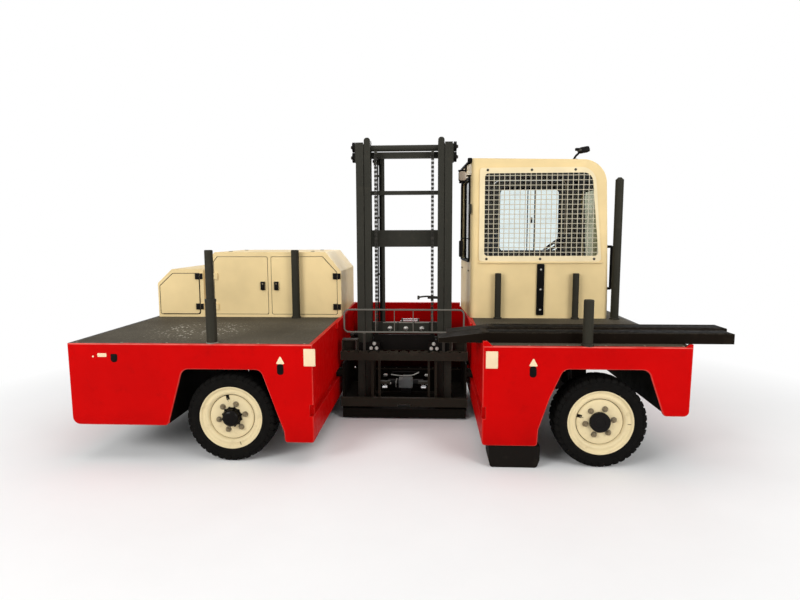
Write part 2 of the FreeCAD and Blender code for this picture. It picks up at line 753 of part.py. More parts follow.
NEAR_WINDOW = ((755, 1527), (1866, 1527), (1784, 2332), (755, 2332))
GUARD_OPENING = ((765, 1537), (1854, 1537), (1772, 2322), (765, 2322))
GUARD_OUTLINE = ((715, 1484), (1882, 1484), (1797, 2374), (715, 2374))
MAST_WINDOW = (350, 1480, 1050, 2300)
FRONT_WINDOW = (330, 1330, 1070, 2200)


def rectangle(bounds, inset):
    low_a, low_b, high_a, high_b = bounds
    return ((low_a + inset, low_b + inset), (high_a - inset, low_b + inset),
            (high_a - inset, high_b - inset), (low_a + inset, high_b - inset))


def cab():
    wall = at.cab_wall
    outside = cab_block("cab_outside", size(0), at.deck_height)
    inside = cab_block("cab_inside", wall, at.deck_height + 60)
    holes = [pane("near_hole", "near", 0), pane("mast_hole", "mast", 0),
             pane("front_hole", "front", 0),
             prism("door_hole", "XZ", door_corners(at.door_gap), 120,
                   (0, at.cab_far - 60, 0), ((60, (2, 3)),))]
    walls = cut("cab_walls", outside, inside, *holes)
    leaves = cab_door()
    node("cab_shell", fuse("cab_shell", walls, *leaves))
    node("cab_glass", group("cab_glass", *cab_panes()))


def slanted(name, plane, half_long, half_tall, centre, turn, radius):
    """A flat pane that follows a leaning wall, about its own centre."""
    thing = prism(name, plane, ((-half_long, -half_tall), (half_long, -half_tall),
                                (half_long, half_tall), (-half_long, half_tall)),
                  at.glass_thick, (0, 0, 0), ((radius, range(4)),))
    thing.Placement = FreeCAD.Placement(FreeCAD.Vector(), turn)
    place(thing, centre)
    return thing


def cab_panes():
    """Fixed glass in the load side, the mast side and the front of the cab."""
    inset = 0.8
    near = leaning("near_glass", NEAR_WINDOW, at.cab_near + 17, at.glass_thick, -inset,
                   (45, 100))
    low_y, low_z, high_y, high_z = MAST_WINDOW
    lean = math.atan2(50, number_of(at.cab_far - at.cab_near))
    middle_y = (low_y + high_y) / 2
    wall_x = at.cab_near_left - (middle_y - at.cab_near) * math.tan(lean)
    mast = slanted("mast_glass", "YZ", (high_y - low_y) / 2 - inset,
                   (high_z - low_z) / 2 - inset, (wall_x + 17, middle_y, (low_z + high_z) / 2),
                   FreeCAD.Rotation(Z_AXIS, math.degrees(lean)), 50)
    low_y, low_z, high_y, high_z = FRONT_WINDOW
    rake = math.atan2(60, number_of(at.cab_top) - 25 - 1110)
    middle_z = (low_z + high_z) / 2
    wall_x = at.cab_right - 5 - (middle_z - 1110) * math.tan(rake)
    front = slanted("front_glass", "YZ", (high_y - low_y) / 2 - inset,
                    (high_z - low_z) / 2 - inset,
                    (wall_x - 23, (low_y + high_y) / 2, middle_z),
                    FreeCAD.Rotation(Y_AXIS, -math.degrees(rake)), 60)
    return near, mast, front


def leaning(name, points, along, depth, grow, radii):
    """A four-sided block in the load side whose front upper corner is rounder."""
    signs = ((-1, -1), (1, -1), (1, 1), (-1, 1))
    grown = [(x + grow * sx, z + grow * sz) for (x, z), (sx, sz) in zip(points, signs)]
    small, large = radii
    return prism(name, "XZ", grown, depth, (0, along, 0), ((large, (2,)), (small, (0, 1, 3))))


def pane(name, place_name, inset):
    """A window's rounded block, through the cab's wall on one side."""
    if place_name == "near":
        return leaning(name, NEAR_WINDOW, at.cab_near - 40, 120, -inset, (45, 100))
    if place_name == "mast":
        return frame_of(name, "YZ", rectangle(MAST_WINDOW, inset), at.cab_left - 60, 170, 50)
    return frame_of(name, "YZ", rectangle(FRONT_WINDOW, inset), at.cab_right - 160, 200, 60)


DOOR_WINDOW = (1010, 1550, 1670, 2250)


def cab_door():
    """The door on the far side, its glass, and the leaves left on the cab."""
    thick = 30
    along = at.cab_far - thick + 1
    panel = prism("cab_door_panel", "XZ", door_corners(size(0)), thick, (0, along, 0),
                  ((56, (2, 3)),))
    hole = frame_of("cab_door_hole", "XZ", rectangle(DOOR_WINDOW, 0), along - 10, 60, 60)
    pieces = [cut("cab_door_frame", panel, hole)]
    leaves = []
    for number, level in enumerate((1180, 2180)):
        door_half, leaf = hinge("cab_hinge%d" % number, at.door_right, at.cab_far, level, -1, 1)
        pieces.extend(door_half)
        leaves.append(leaf)
    pieces.append(box("cab_door_handle", (at.door_left + 40, at.cab_far + 1, 1400),
                      (120, 18, 34)))
    node("cab_door", fuse("cab_door", *pieces))
    node("door_glass", frame_of("door_glass", "XZ", rectangle(DOOR_WINDOW, 0.5), along + 12,
                                at.glass_thick, 59.5))
    return leaves


def corner_drop(over, radius):
    """How far a rounded corner falls back, over past the start of its curve."""
    over = min(max(over, 0.0), radius)
    return radius - math.sqrt(radius ** 2 - over ** 2)


def cab_guard():
    """A wire guard in a flat sheet frame on the cab's load side."""
    front = at.cab_near - at.guard_sheet
    (left, low), (right, _), (right_high, high), _ = GUARD_OPENING
    bend = 90
    frame = cut("guard_frame",
                leaning("guard_outside", GUARD_OUTLINE, front, at.guard_sheet, 0, (30, 150)),
                leaning("guard_inside", GUARD_OPENING, front - 10, 30, 0, (35, bend)))
    lean = (right - right_high) / (high - low)
    across_pitch, up_pitch = number_of(at.guard_across), number_of(at.guard_up)
    wires = []
    thick = at.guard_wire
    into = 12
    for number in range(int((right - left) / across_pitch)):
        across = left + across_pitch * (number + 0.7)
        top = high - corner_drop(across - (right_high - bend), bend)
        if across > right_high:
            top = low + (right - across) / lean
        wires.append(box("guard_column%d" % number, (across, front + 1, low - into),
                         (thick, thick, top - low + 2 * into)))
    for number in range(int((high - low) / up_pitch)):
        level = low + up_pitch * (number + 0.7)
        edge = right - lean * (level - low) - corner_drop(level - (high - bend), bend)
        wires.append(box("guard_row%d" % number, (left - into, front + 3, level),
                         (edge - left + 2 * into, thick, thick)))
    node("cab_guard", fuse("cab_guard", frame, *wires))


def driver_place():
    floor = at.deck_height + 60
    base = box("seat_box", (860, 520, floor), (420, 420, 330))
    post = box("seat_post", (840, 560, floor), (20, 340, 640))
    node("seat_base", fuse("seat_base", base, post))
    cushion = prism("cushion_low", "XY", ((870, 500), (1320, 500), (1320, 960), (870, 960)),
                    100, (0, 0, floor + 330.3), ((60, (0, 1, 2, 3)),))
    back = prism("cushion_back", "YZ", ((520, floor + 440), (940, floor + 440),
                                         (900, floor + 790), (560, floor + 790)),
                 90, (860.3, 0, 0), ((60, (0, 1, 2, 3)),))
    node("seat_cushion", group("seat_cushion", cushion, back))
    console = prism("console", "XZ", ((1640, floor), (1900, floor), (1890, floor + 430),
                                      (1700, floor + 430)), 560, (0, 450, 0))
    column = doc.addObject("Part::Cylinder", "column_tube")
    column.Radius = 26
    column.Height = 330
    column.Placement = FreeCAD.Placement(FreeCAD.Vector(), FreeCAD.Rotation(Y_AXIS, -35))
    place(column, (1745, 730, floor + 400))
    wheel_rim = doc.addObject("Part::Torus", "column_wheel")
    wheel_rim.Radius1 = 165
    wheel_rim.Radius2 = 14
    wheel_rim.Placement = FreeCAD.Placement(FreeCAD.Vector(), FreeCAD.Rotation(Y_AXIS, -35))
    place(wheel_rim, (1745 - 320 * math.sin(math.radians(35)), 730,
                      floor + 400 + 320 * math.cos(math.radians(35))))
    spoke = doc.addObject("Part::Cylinder", "column_spoke")
    spoke.Radius = 11
    spoke.Height = 330
    spoke.Placement = FreeCAD.Placement(FreeCAD.Vector(), TURN["Y"])
    place(spoke, (1745 - 318 * math.sin(math.radians(35)), 565,
                  floor + 400 + 318 * math.cos(math.radians(35))))
    node("steering_column", fuse("steering_column", console, column, wheel_rim, spoke))


def front_wall(level):
    """X of the cab's leaning front wall at a height above its fold."""
    fold = 1110
    lean = 60
    rise = at.cab_top - 25 - fold
    return at.cab_right - 5 - size(lean * (level - fold)) / rise


def cab_fittings():
    """A work lamp on the roof, a lamp and a mirror on the mast side."""
    roof = at.cab_top - 25 * (1560 - at.cab_left) / (at.cab_right - 65 - at.cab_left) + 0.5
    foot = box("work_foot", (1560, 300, roof), (60, 40, 12))
    stem = box("work_stem", (1585, 314, roof + 12), (12, 12, 60))
    arm = box("work_arm", (1585, 314, roof + 60), (90, 12, 12))
    lamp = rod("work_lamp", "X", (1650, 320, roof + 62), 28, 80)
    near = at.cab_near
    bracket = box("side_bracket", (548, near + 56, 2304), (87.6, 14, 14))
    side = rod("side_lamp", "Y", (562, near + 5, 2311), 50, 62)
    stay = box("mirror_stay", (560, near + 60, 1640), (76, 10, 10))
    mirror = box("mirror_plate", (530, near + 50, 1560), (40, 26, 170))
    grab = at.cab_right + 32
    rail = rod("grab_rail", "Z", (grab, near + 63, 1198), 14, 445)
    arms = []
    for number, level in enumerate((1218, 1623)):
        wall = front_wall(level - 10) + at.seat_gap
        arms.append(rod("grab_arm%d" % number, "X", (wall, near + 63, level), 10, grab - wall))
    node("cab_fittings", group("cab_fittings", fuse("work_light", foot, stem, arm, lamp),
                               fuse("grab", rail, *arms),
                               fuse("side_light", bracket, side),
                               fuse("side_mirror", stay, mirror)))


def door_corners(grow):
    return ((at.door_left - grow, at.door_low - grow), (at.door_right + grow, at.door_low - grow),
            (at.door_right + grow, at.door_high + grow), (at.door_left - grow, at.door_high + grow))


# --------------------------------------------------------------- stakes, sleeves

def stake(name, across, along, top, radius, rounding=5):
    """A round load stake with a tapered top and a collar on the deck."""
    base = at.deck_height
    shaft = rod(name + "_shaft", "Z", (across, along, base), radius, top - rounding - base)
    crown = doc.addObject("Part::Cone", name + "_crown")
    crown.setExpression("Radius1", size(radius).formula)
    crown.setExpression("Radius2", size(radius - rounding).formula)
    crown.setExpression("Height", size(rounding).formula)
    place(crown, (across, along, top - rounding))
    collar = rod(name + "_collar", "Z", (across, along, base), radius + 9, 14)
    return fuse(name, shaft, crown, collar)


def stakes():
    front = at.cab_near - 44
    near_left = stake("stake_a", size(-1410), near_face + 55, size(1635), 31)
    sleeve = rod("stake_sleeve", "Z", (-1410, near_face + 55, at.deck_height), 40, 337)
    ring = rod("stake_ring", "Z", (-1410, near_face + 55, at.deck_height + 318), 43, 16)
    node("stakes_left", group("stakes_left", fuse("stake_near", near_left, sleeve, ring),
                              stake("stake_b", size(-1075), front - 6, size(1600), 38)))
    node("stake_right", stake("stake_right", size(1400), near_face + 48, size(1270), 37))
    node("cab_stakes", group("cab_stakes",
                             stake("stake_c", size(900), front, size(1372), 30),
                             stake("stake_d", size(1640), front, size(1372), 30),
                             stake("stake_e", at.cab_right + 50, front + 5, size(2270), 38, 22)))


def fork_sleeves():
    """Two loose fork sleeves that lie on the right deck, open at the right end."""
    tip = 356
    side = ((0, 0), (at.sleeve_length, 0), (at.sleeve_length, at.sleeve_tall),
            (tip, at.sleeve_tall), (0, 34))
    wall = at.sleeve_wall
    first = at.sleeve_start
    for name, shift, along in (("sleeve_near", 0, near_face + 135),
                               ("sleeve_far", at.sleeve_shift, near_face + 385)):
        solid = prism(name + "_solid", "XZ", side, at.sleeve_width,
                      (first + shift, along, at.deck_height + 0.3))
        channel = box(name + "_channel",
                      (first + shift + tip + 60, along + wall, at.deck_height + 0.3 + wall),
                      (at.sleeve_length - tip, at.sleeve_width - 2 * wall,
                       at.sleeve_tall - 2 * wall))
        node(name, cut(name, solid, channel))


def stabiliser():
    """The foot under the right leg, on a square column that slides in its guide."""
    across = well_half + 230
    along = near_face + 140
    foot_points = ((-172, 60), (-160, 2), (186, 2), (208, 60), (208, 168), (-172, 168))
    foot = prism("stabiliser_pad", "XZ", [(across + a, size(b)) for a, b in foot_points],
                 230, (0, near_face + 20, 0), ((24, (1, 2)),))
    half = 62 - at.seat_gap
    column = box("stabiliser_column", (across - half, along - half, 160),
                 (2 * half, 2 * half, 560))
    node("stabiliser", fuse("stabiliser", foot, column))


# ---------------------------------------------------------------------- trolley

wheel_level = at.groove_low + at.groove_tall / 2
TILT_ALONG = 150
TILT_REAR = (700, 430)
TILT_FRONT = (215, 760)
PIN = 12


def mirror_box(name, side, inner, outer, along, depth, low, tall):
    """A block between two distances from the mast's middle plane, on one side."""
    start = inner if side > 0 else -size(outer)
    return box(name, (start, along, low), (size(outer) - inner, depth, tall))


def mirror_rod(name, side, inner, outer, along, level, radius):
    start = inner if side > 0 else -size(outer)
    return rod(name, "X", (start, along, level), radius, size(outer) - inner)


def sides():
    return (("left", -1), ("right", 1))


def trolley():
    half = at.trolley_half
    plate = 16
    front = at.trolley_front
    back = at.trolley_back
    inside = half - plate
    start = 15
    pieces = [
        box("trolley_front", (-inside - 4, front, 12), (2 * inside + 8, 110, 86)),
        box("trolley_back", (-inside, back - 70, 60), (2 * inside, 70, 240)),
        box("trolley_middle", (-inside, 350, 40), (2 * inside, 110, 90)),
    ]
    bores = []
    for side_name, side in sides():
        name = "trolley_" + side_name
        pieces.append(mirror_box(name + "_plate", side, inside, half, start, back - start,
                                 60, 460))
        pieces.append(mirror_box(name + "_beam", side, 470, inside, start,
                                 back - start - 70, 15, 155))
        for number, along in enumerate((60, 640)):
            pieces.append(mirror_rod("%s_roller%d" % (name, number), side, half,
                                     well_half + at.groove_depth - 5, along, wheel_level,
                                     at.roller_radius))
        pieces.append(mirror_rod(name + "_pin", side, inside - 84, inside, TILT_REAR[0],
                                 TILT_REAR[1], PIN))
        bores.append(mirror_rod(name + "_bore", side, inside - 120, inside - 10, TILT_ALONG,
                                at.tilt_axis_high, at.tilt_pin_radius + at.running_gap))
    node("trolley", cut("trolley", fuse("trolley_solid", *pieces), *bores))
    motor = [
        box("motor_foot", (-50, 365, 130), (100, 80, 65)),
        box("motor_block", (-72, 350, 190), (140, 100, 90)),
        box("motor_valve", (-30, 345, 275), (90, 70, 36)),
        rod("motor_left", "X", (-180, 400, 235), 36, 110),
        rod("motor_right", "X", (66, 400, 235), 36, 110),
    ]
    node("traverse_motor", fuse("traverse_motor", *motor))


def tilt_cylinders():
    """Barrels on the trolley's pins and rods that reach the pins of the mast."""
    reach_y = TILT_FRONT[0] - TILT_REAR[0]
    reach_z = TILT_FRONT[1] - TILT_REAR[1]
    length = math.hypot(reach_y, reach_z)
    turn = FreeCAD.Rotation(X_AXIS, math.degrees(math.atan2(-reach_y, reach_z)))
    for side_name, side in sides():
        centre = side * 520

        def along_rod(name, start, radius, size_long, centre=centre):
            thing = doc.addObject("Part::Cylinder", name)
            thing.setExpression("Radius", size(radius).formula)
            thing.setExpression("Height", size(size_long).formula)
            thing.Placement = FreeCAD.Placement(FreeCAD.Vector(), turn)
            place(thing, (centre, TILT_REAR[0] + start * reach_y / length,
                          TILT_REAR[1] + start * reach_z / length))
            return thing

        name = "tilt_" + side_name
        barrel_name = "tilt_barrel_" + side_name
        rod_name = "tilt_rod_" + side_name
        eye = mirror_rod(name + "_eye", side, 505, 535, TILT_REAR[0], TILT_REAR[1], 30)
        body = along_rod(name + "_body", 20, 30, 310)
        eye_bore = mirror_rod(name + "_eye_bore", side, 500, 540, TILT_REAR[0],
                              TILT_REAR[1], PIN + at.running_gap)
        bore = along_rod(name + "_bore", 50, 22, 262)
        gland = along_rod(name + "_gland", 300, 16 + at.running_gap, 40)
        node(barrel_name, cut(barrel_name, fuse(name + "_solid", eye, body), eye_bore,
                              bore, gland))
        rod_eye = mirror_rod(name + "_rod_eye", side, 505, 535, TILT_FRONT[0],
                             TILT_FRONT[1], 30)
        shaft = along_rod(name + "_shaft", 150, 16, length - 170)
        rod_bore = mirror_rod(name + "_rod_bore", side, 500, 540, TILT_FRONT[0],
                              TILT_FRONT[1], PIN + 4)
        node(rod_name, cut(rod_name, fuse(name + "_rod_solid", rod_eye, shaft), rod_bore))


# ------------------------------------------------------------------------- mast

mast_back = at.mast_front + at.rail_depth
inner_outer = at.mast_half - at.rail_width - at.stage_gap
inner_inner = inner_outer - at.inner_width
inner_depth = at.rail_depth - 2 * at.stage_play
inner_front = at.mast_front + at.stage_play
mast_middle = at.mast_front + at.rail_depth / 2
foot_top = at.mast_foot + 13
CYLINDER_OUT = 400
CYLINDER_ALONG = 290
SHEAVE_RADIUS = 43
SHEAVE_LEVEL = 2480


def mast_rail(side_name, side):
    """An outer upright, open towards the middle, with its pins and top pulleys."""
    name = "mast_rail_" + side_name
    half = at.mast_half
    inner = half - at.rail_width
    outside = mirror_box(name + "_out", side, inner, half, at.mast_front, at.rail_depth,
                         foot_top, at.outer_top - foot_top)
    channel = mirror_box(name + "_in", side, inner, half - at.rail_wall,
                         at.mast_front + at.rail_wall, at.rail_depth - 2 * at.rail_wall,
                         foot_top, at.outer_top - foot_top)
    pieces = [
        cut(name + "_channel", outside, channel),
        mirror_rod(name + "_pivot", side, half, 565, TILT_ALONG, at.tilt_axis_high,
                   at.tilt_pin_radius),
        mirror_rod(name + "_boss", side, half, 498, TILT_FRONT[0], TILT_FRONT[1], 24),
        mirror_rod(name + "_pin", side, 498, 545, TILT_FRONT[0], TILT_FRONT[1], PIN),
        mirror_box(name + "_shelf", side, 365, 435, mast_back, 105, foot_top, 30),
        mirror_box(name + "_clamp", side, 390, 410, mast_back,
                   CYLINDER_ALONG - at.barrel_radius - mast_back, 1480, 60),
        mirror_box(name + "_bracket", side, half, half + 12, mast_middle - 50, 100,
                   at.outer_top - 178, 166),
    ]
    for number, level in enumerate((at.outer_top - 129, at.outer_top - 34)):
        pieces.append(mirror_rod("%s_pulley%d" % (name, number), side, half + 12, half + 38,
                                 mast_middle, level, 46))
    node(name, fuse(name, *pieces))


def mast_ties():
    """The foot plate and the cross ties behind the outer uprights."""
    half = at.mast_half
    wide = 2 * half
    foot = box("mast_foot_plate", (-half, at.mast_front, at.mast_foot - 7),
               (wide, at.rail_depth, foot_top - at.mast_foot + 7))
    low = box("mast_low_tie", (-half, mast_back, 780), (wide, 20, 110))
    middle = box("mast_middle_tie", (-half, mast_back, 1627), (wide, 16, 162))
    top = box("mast_top_tie", (-half, mast_back, 2125), (wide, 32, 38))
    boxes = []
    for number in range(3):
        across = -222 + 157 * number
        boxes.append(box("valve_box%d" % number, (across, mast_back - 10, 785),
                         (145, 10, 100)))
    post = rod("hose_post", "Z", (-218, mast_back + 24 + 18, 860), 20, 1670)
    clips = [box("post_clip%d" % number, (-238, mast_back, level), (40, 26, 30))
             for number, level in enumerate((1680, 2128))]
    node("mast_ties", fuse("mast_ties", foot, low, middle, top, post,
                           *(boxes + clips)))


def lift_cylinders():
    """Barrels on the outer mast's shelves, and rods under the inner mast's head."""
    barrel_low = foot_top + 30
    barrel_long = 1530
    barrels = []
    rods = []
    for side_name, side in sides():
        across = side * CYLINDER_OUT
        name = "lift_" + side_name
        outside = rod(name + "_out", "Z", (across, CYLINDER_ALONG, barrel_low),
                      at.barrel_radius, barrel_long)
        inside = rod(name + "_in", "Z", (across, CYLINDER_ALONG, barrel_low + 12),
                     at.rod_radius + at.running_gap, barrel_long)
        barrels.append(cut(name + "_barrel", outside, inside))
        rods.append(rod(name + "_rod", "Z", (across, CYLINDER_ALONG, barrel_low + 16),
                        at.rod_radius, 2470 - barrel_low - 16))
    node("lift_barrels", group("lift_barrels", *barrels))
    node("lift_rods", group("lift_rods", *rods))


def inner_rail(side_name, side):
    """An inner upright with a rounded top and the roller that runs in the outer one."""
    name = "inner_rail_" + side_name
    low = foot_top + at.seat_gap
    start = inner_inner if side > 0 else -inner_outer
    end = start + at.inner_width
    outside = prism(name + "_out", "XZ", ((start, low), (end, low), (end, at.inner_top),
                                          (start, at.inner_top)),
                    inner_depth, (0, inner_front, 0), ((at.inner_width * 0.45, (2, 3)),))
    channel = mirror_box(name + "_in", side, inner_inner, inner_outer - at.rail_wall,
                         inner_front + at.rail_wall, inner_depth - 2 * at.rail_wall,
                         low, at.inner_top - low - 60)
    radius = (at.rail_depth - 2 * at.rail_wall) / 2 - at.running_gap
    roller = mirror_rod(name + "_roller", side, inner_outer, at.mast_half - at.rail_wall - 5,
                        mast_middle, 300, radius)
    node(name, fuse(name, cut(name + "_channel", outside, channel), roller))


def inner_head():
    """The top tube, the bar with the chain sheaves, and the cylinder brackets."""
    wide = 2 * inner_inner
    back = inner_front + inner_depth
    pieces = [
        rod("head_tube", "X", (at.rail_wall - inner_outer, mast_middle, 2550), 29,
            2 * (inner_outer - at.rail_wall)),
        box("head_bar", (-inner_inner, mast_middle + 10, 2460), (wide, 50, 57)),
        box("inner_tie", (-inner_inner, back - 11, 690), (wide, 9, 60)),
    ]
    for side_name, side in sides():
        pieces.append(mirror_rod("sheave_" + side_name, side, at.chain_out - 12,
                                 at.chain_out + 12, mast_middle - 42, SHEAVE_LEVEL,
                                 SHEAVE_RADIUS))
        pieces.append(mirror_box("sheave_arm_" + side_name, side, at.chain_out - 24,
                                 at.chain_out - 14, mast_middle - 60, 80, 2465, 40))
        pieces.append(mirror_rod("sheave_pin_" + side_name, side, at.chain_out - 24,
                                 at.chain_out, mast_middle - 42, SHEAVE_LEVEL, 10))
        pieces.append(mirror_box("head_bracket_" + side_name, side, inner_inner + 14,
                                 inner_outer - 3, back, 100, 2470, 60))
        pieces.append(mirror_box("head_cap_" + side_name, side, inner_outer - 3,
                                 CYLINDER_OUT + 26, mast_back + 15, 75, 2470, 60))
    node("inner_head", group("inner_head", fuse("inner_head_top", *(pieces[:2] + pieces[3:])),
                             pieces[2]))


def lift_chains():
    strands = []
    for side_name, side in sides():
        strands.append(mirror_box("chain_" + side_name, side,
                                  at.chain_out - at.chain_width / 2,
                                  at.chain_out + at.chain_width / 2,
                                  mast_middle - 42 - SHEAVE_RADIUS - 9 - at.seat_gap, 9,
                                  820, SHEAVE_LEVEL - 820))
    node("lift_chains", group("lift_chains", *strands))


# --------------------------------------------------------------------- carriage

def fork_bars():
    front = at.bar_front
    half = at.bar_half
    for name, low in (("fork_bar_upper", at.upper_bar_low), ("fork_bar_lower", at.lower_bar_low)):
        bar = box(name + "_bar", (-half, front, low), (2 * half, at.bar_thick, at.bar_tall))
        cuts = []
        if name.endswith("upper"):
            for number in range(12):
                across = -half + 76 + number * 95
                cuts.append(rod("%s_notch%d" % (name, number), "Y",
                                (across, front - 5, low + at.bar_tall + 6), 16,
                                at.bar_thick + 10))
        else:
            cuts.append(box(name + "_gap", (-60, front - 5, low - 5),
                            (120, at.bar_thick + 10, 25)))
        node(name, cut(name, bar, *cuts))


def carriage_frame():
    """Side plates with rollers, a cross plate, housings and the chain anchors."""
    back = at.bar_front + at.bar_thick
    upper_top = at.upper_bar_low + at.bar_tall
    radius = inner_depth / 2 - at.rail_wall - at.running_gap
    pieces = [box("carriage_cross", (-290, 20, upper_top), (580, 20, 148))]
    for side_name, side in sides():
        name = "carriage_" + side_name
        pieces.append(mirror_box(name + "_plate", side, 290, inner_inner - 4, back,
                                 180 - back, at.lower_bar_low + 5, 605))
        pieces.append(mirror_box(name + "_rib", side, 225, 245, back, 60,
                                 at.lower_bar_low + 5, 605))
        pieces.append(mirror_box(name + "_anchor", side, at.chain_out - 16,
                                 at.chain_out + 16, 38, 36, 740, 820 - 740 - 0.3))
        for number, level in enumerate((200, 640)):
            pieces.append(mirror_rod("%s_roller%d" % (name, number), side, inner_inner - 4,
                                     inner_outer - at.rail_wall - 4, mast_middle, level,
                                     radius))
        pieces.append(mirror_box(name + "_bolt_plate", side, 228, 330, back - 8, 8,
                                 upper_top, 90))
        for number, (across, level) in enumerate(((280, 72), (258, 28), (310, 28))):
            start = side * across
            pieces.append(rod("%s_bolt%d" % (name, number), "Y",
                              (start, back - 22, upper_top + level), 10, 16))
        pieces.append(mirror_box(name + "_link", side, 290, 440, back, 20, upper_top - 30, 110))
        housing = mirror_box(name + "_housing", side, 432, 581, back - 25, 90, upper_top, 112)
        cavity = mirror_box(name + "_cavity", side, 440, 573, back - 35, 80, upper_top + 8, 96)
        pieces.append(cut(name + "_box", housing, cavity))
    node("carriage_frame", fuse("carriage_frame", *pieces))


def load_backrest():
    """A bent-rod frame with thin uprights, on two legs behind the upper fork bar."""
    half = at.guard_half
    low = at.guard_low
    high = at.guard_high
    along = at.bar_front + 20
    bend = 42
    radius = at.guard_rod
    pieces = []
    for number, level in enumerate((low, high)):
        pieces.append(rod("guard_long%d" % number, "X", (-half + bend, along, level), radius,
                          2 * half - 2 * bend))
    for side_name, side in sides():
        pieces.append(rod("guard_side_" + side_name, "Z", (side * half, along, low + bend),
                          radius, high - low - 2 * bend))
    for number, (sign_x, sign_z) in enumerate(((1, 1), (-1, 1), (-1, -1), (1, -1))):
        bend_ring = doc.addObject("Part::Torus", "guard_bend%d" % number)
        bend_ring.Radius1 = bend
        bend_ring.setExpression("Radius2", size(radius).formula)
        bend_ring.Angle3 = 90
        turn = FreeCAD.Rotation(X_AXIS, 90) * FreeCAD.Rotation(Z_AXIS, 90 * number)
        bend_ring.Placement = FreeCAD.Placement(FreeCAD.Vector(), turn)
        place(bend_ring, (sign_x * (half - bend), along,
                          high - bend if sign_z > 0 else low + bend))
        pieces.append(bend_ring)
    for number, across in enumerate((-265, -88, 88, 265)):
        pieces.append(rod("guard_upright%d" % number, "Z", (across, along, low), 4, high - low))
    for side_name, side in sides():
        top = at.upper_bar_low + at.bar_tall
        pieces.append(mirror_box("guard_leg_" + side_name, side, 360, 385, along - 5, 10,
                                 top, low - top))
    node("load_backrest", fuse("load_backrest", *pieces))


frame_left()
frame_right()
frame_rear()
decks()
skirt_plates()
drive_axle()
steer_axle()
knuckles()
for wheel_name, place_x, wheel_side in (
        ("left_near", -at.left_axle_out, -1), ("left_far", -at.left_axle_out, 1),
        ("right_near", at.right_axle_out, -1), ("right_far", at.right_axle_out, 1)):
    wheel(wheel_name, place_x, wheel_side)
cabinet_main()
cabinet_small()
cab()
cab_guard()
driver_place()
cab_fittings()
stakes()
fork_sleeves()
stabiliser()
trolley()
tilt_cylinders()
for mast_side in sides():
    mast_rail(*mast_side)
    inner_rail(*mast_side)
mast_ties()
lift_cylinders()
inner_head()
lift_chains()
fork_bars()
carriage_frame()
load_backrest()

doc.recompute()
for thing in doc.Objects:
    if "Invalid" in thing.State or "Error" in thing.State:
        raise RuntimeError("%s failed: %s" % (thing.Name, thing.State))
for thing in nodes:
    if thing.Shape.isNull() or not thing.Shape.isValid():
        raise RuntimeError("%s has no valid shape" % thing.Label)
os.makedirs("parts", exist_ok=True)
for thing in nodes:
    thing.Shape.exportStep("parts/%s.step" % thing.Label)
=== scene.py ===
import bpy
import bmesh
import json
import math
from functools import partialmethod
from mathutils import Matrix, Vector


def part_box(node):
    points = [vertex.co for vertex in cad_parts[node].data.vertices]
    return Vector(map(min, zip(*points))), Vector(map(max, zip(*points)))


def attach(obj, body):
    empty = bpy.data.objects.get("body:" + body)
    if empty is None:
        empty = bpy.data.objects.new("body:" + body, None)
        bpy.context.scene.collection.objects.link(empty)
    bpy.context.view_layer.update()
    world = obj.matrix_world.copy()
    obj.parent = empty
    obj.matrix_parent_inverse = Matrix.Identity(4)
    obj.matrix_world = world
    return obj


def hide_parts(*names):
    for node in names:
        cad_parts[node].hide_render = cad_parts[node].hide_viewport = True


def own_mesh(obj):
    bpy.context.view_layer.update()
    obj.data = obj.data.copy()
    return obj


# The electric sideloader around its CAD frame. Metres, as in the CAD: +X towards the cab
# end, -Y the load side, Z up. An outline on an upright face is a list of (X, Z) pairs.

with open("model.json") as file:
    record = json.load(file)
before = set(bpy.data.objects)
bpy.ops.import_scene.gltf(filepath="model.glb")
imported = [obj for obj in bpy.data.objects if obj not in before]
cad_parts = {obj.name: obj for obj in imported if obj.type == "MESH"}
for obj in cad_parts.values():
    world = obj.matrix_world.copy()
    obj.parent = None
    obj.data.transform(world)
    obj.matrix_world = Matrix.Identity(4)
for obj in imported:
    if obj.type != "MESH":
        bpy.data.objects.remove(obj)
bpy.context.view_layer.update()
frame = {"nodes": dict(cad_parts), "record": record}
nodes = frame["nodes"]
scene = bpy.context.scene


def added(name, data):
    """A new object in the scene."""
    thing = bpy.data.objects.new(name, data)
    scene.collection.objects.link(thing)
    return thing


def mesh_of(form, name):
    """A form's faces as a mesh. The form is used up."""
    mesh = bpy.data.meshes.new(name)
    form.to_mesh(mesh)
    form.free()
    return mesh


# ---------- camera, light

YAW, PITCH, ROLL = math.radians(3.08), math.radians(6.56), -0.0033
CAMERA_PLACE = (0.2462, -5.2708, 1.7409)
camera = added("camera", bpy.data.cameras.new("camera"))
camera.data.lens = 25.41
camera.data.sensor_width = 36
camera.data.clip_end = 100
camera.matrix_world = Matrix.Translation(CAMERA_PLACE)
for angle, axis in ((YAW, "Z"), (math.pi / 2 - PITCH, "X"), (ROLL, "Z")):
    camera.matrix_world @= Matrix.Rotation(angle, 4, axis)
scene.camera = camera


def lamp(name, where, target, size, power):
    light = bpy.data.lights.new(name, "AREA")
    light.shape = "RECTANGLE"
    light.size, light.size_y = size
    light.energy = power
    thing = added(name, light)
    direction = Vector(target) - Vector(where)
    thing.rotation_euler = direction.to_track_quat("-Z", "Y").to_euler()
    thing.location = where


lamp("ceiling", (0, -1, 6.5), (0, 0, 0), (9, 6), 160)
lamp("front_left", (-5.5, -7, 4.2), (-0.5, 0, 0.9), (4, 3), 385)
lamp("front_right", (6, -6.5, 3.4), (0.5, 0, 0.9), (4, 3), 300)
lamp("back", (1, 7, 4.5), (0, 0, 1), (6, 3), 200)


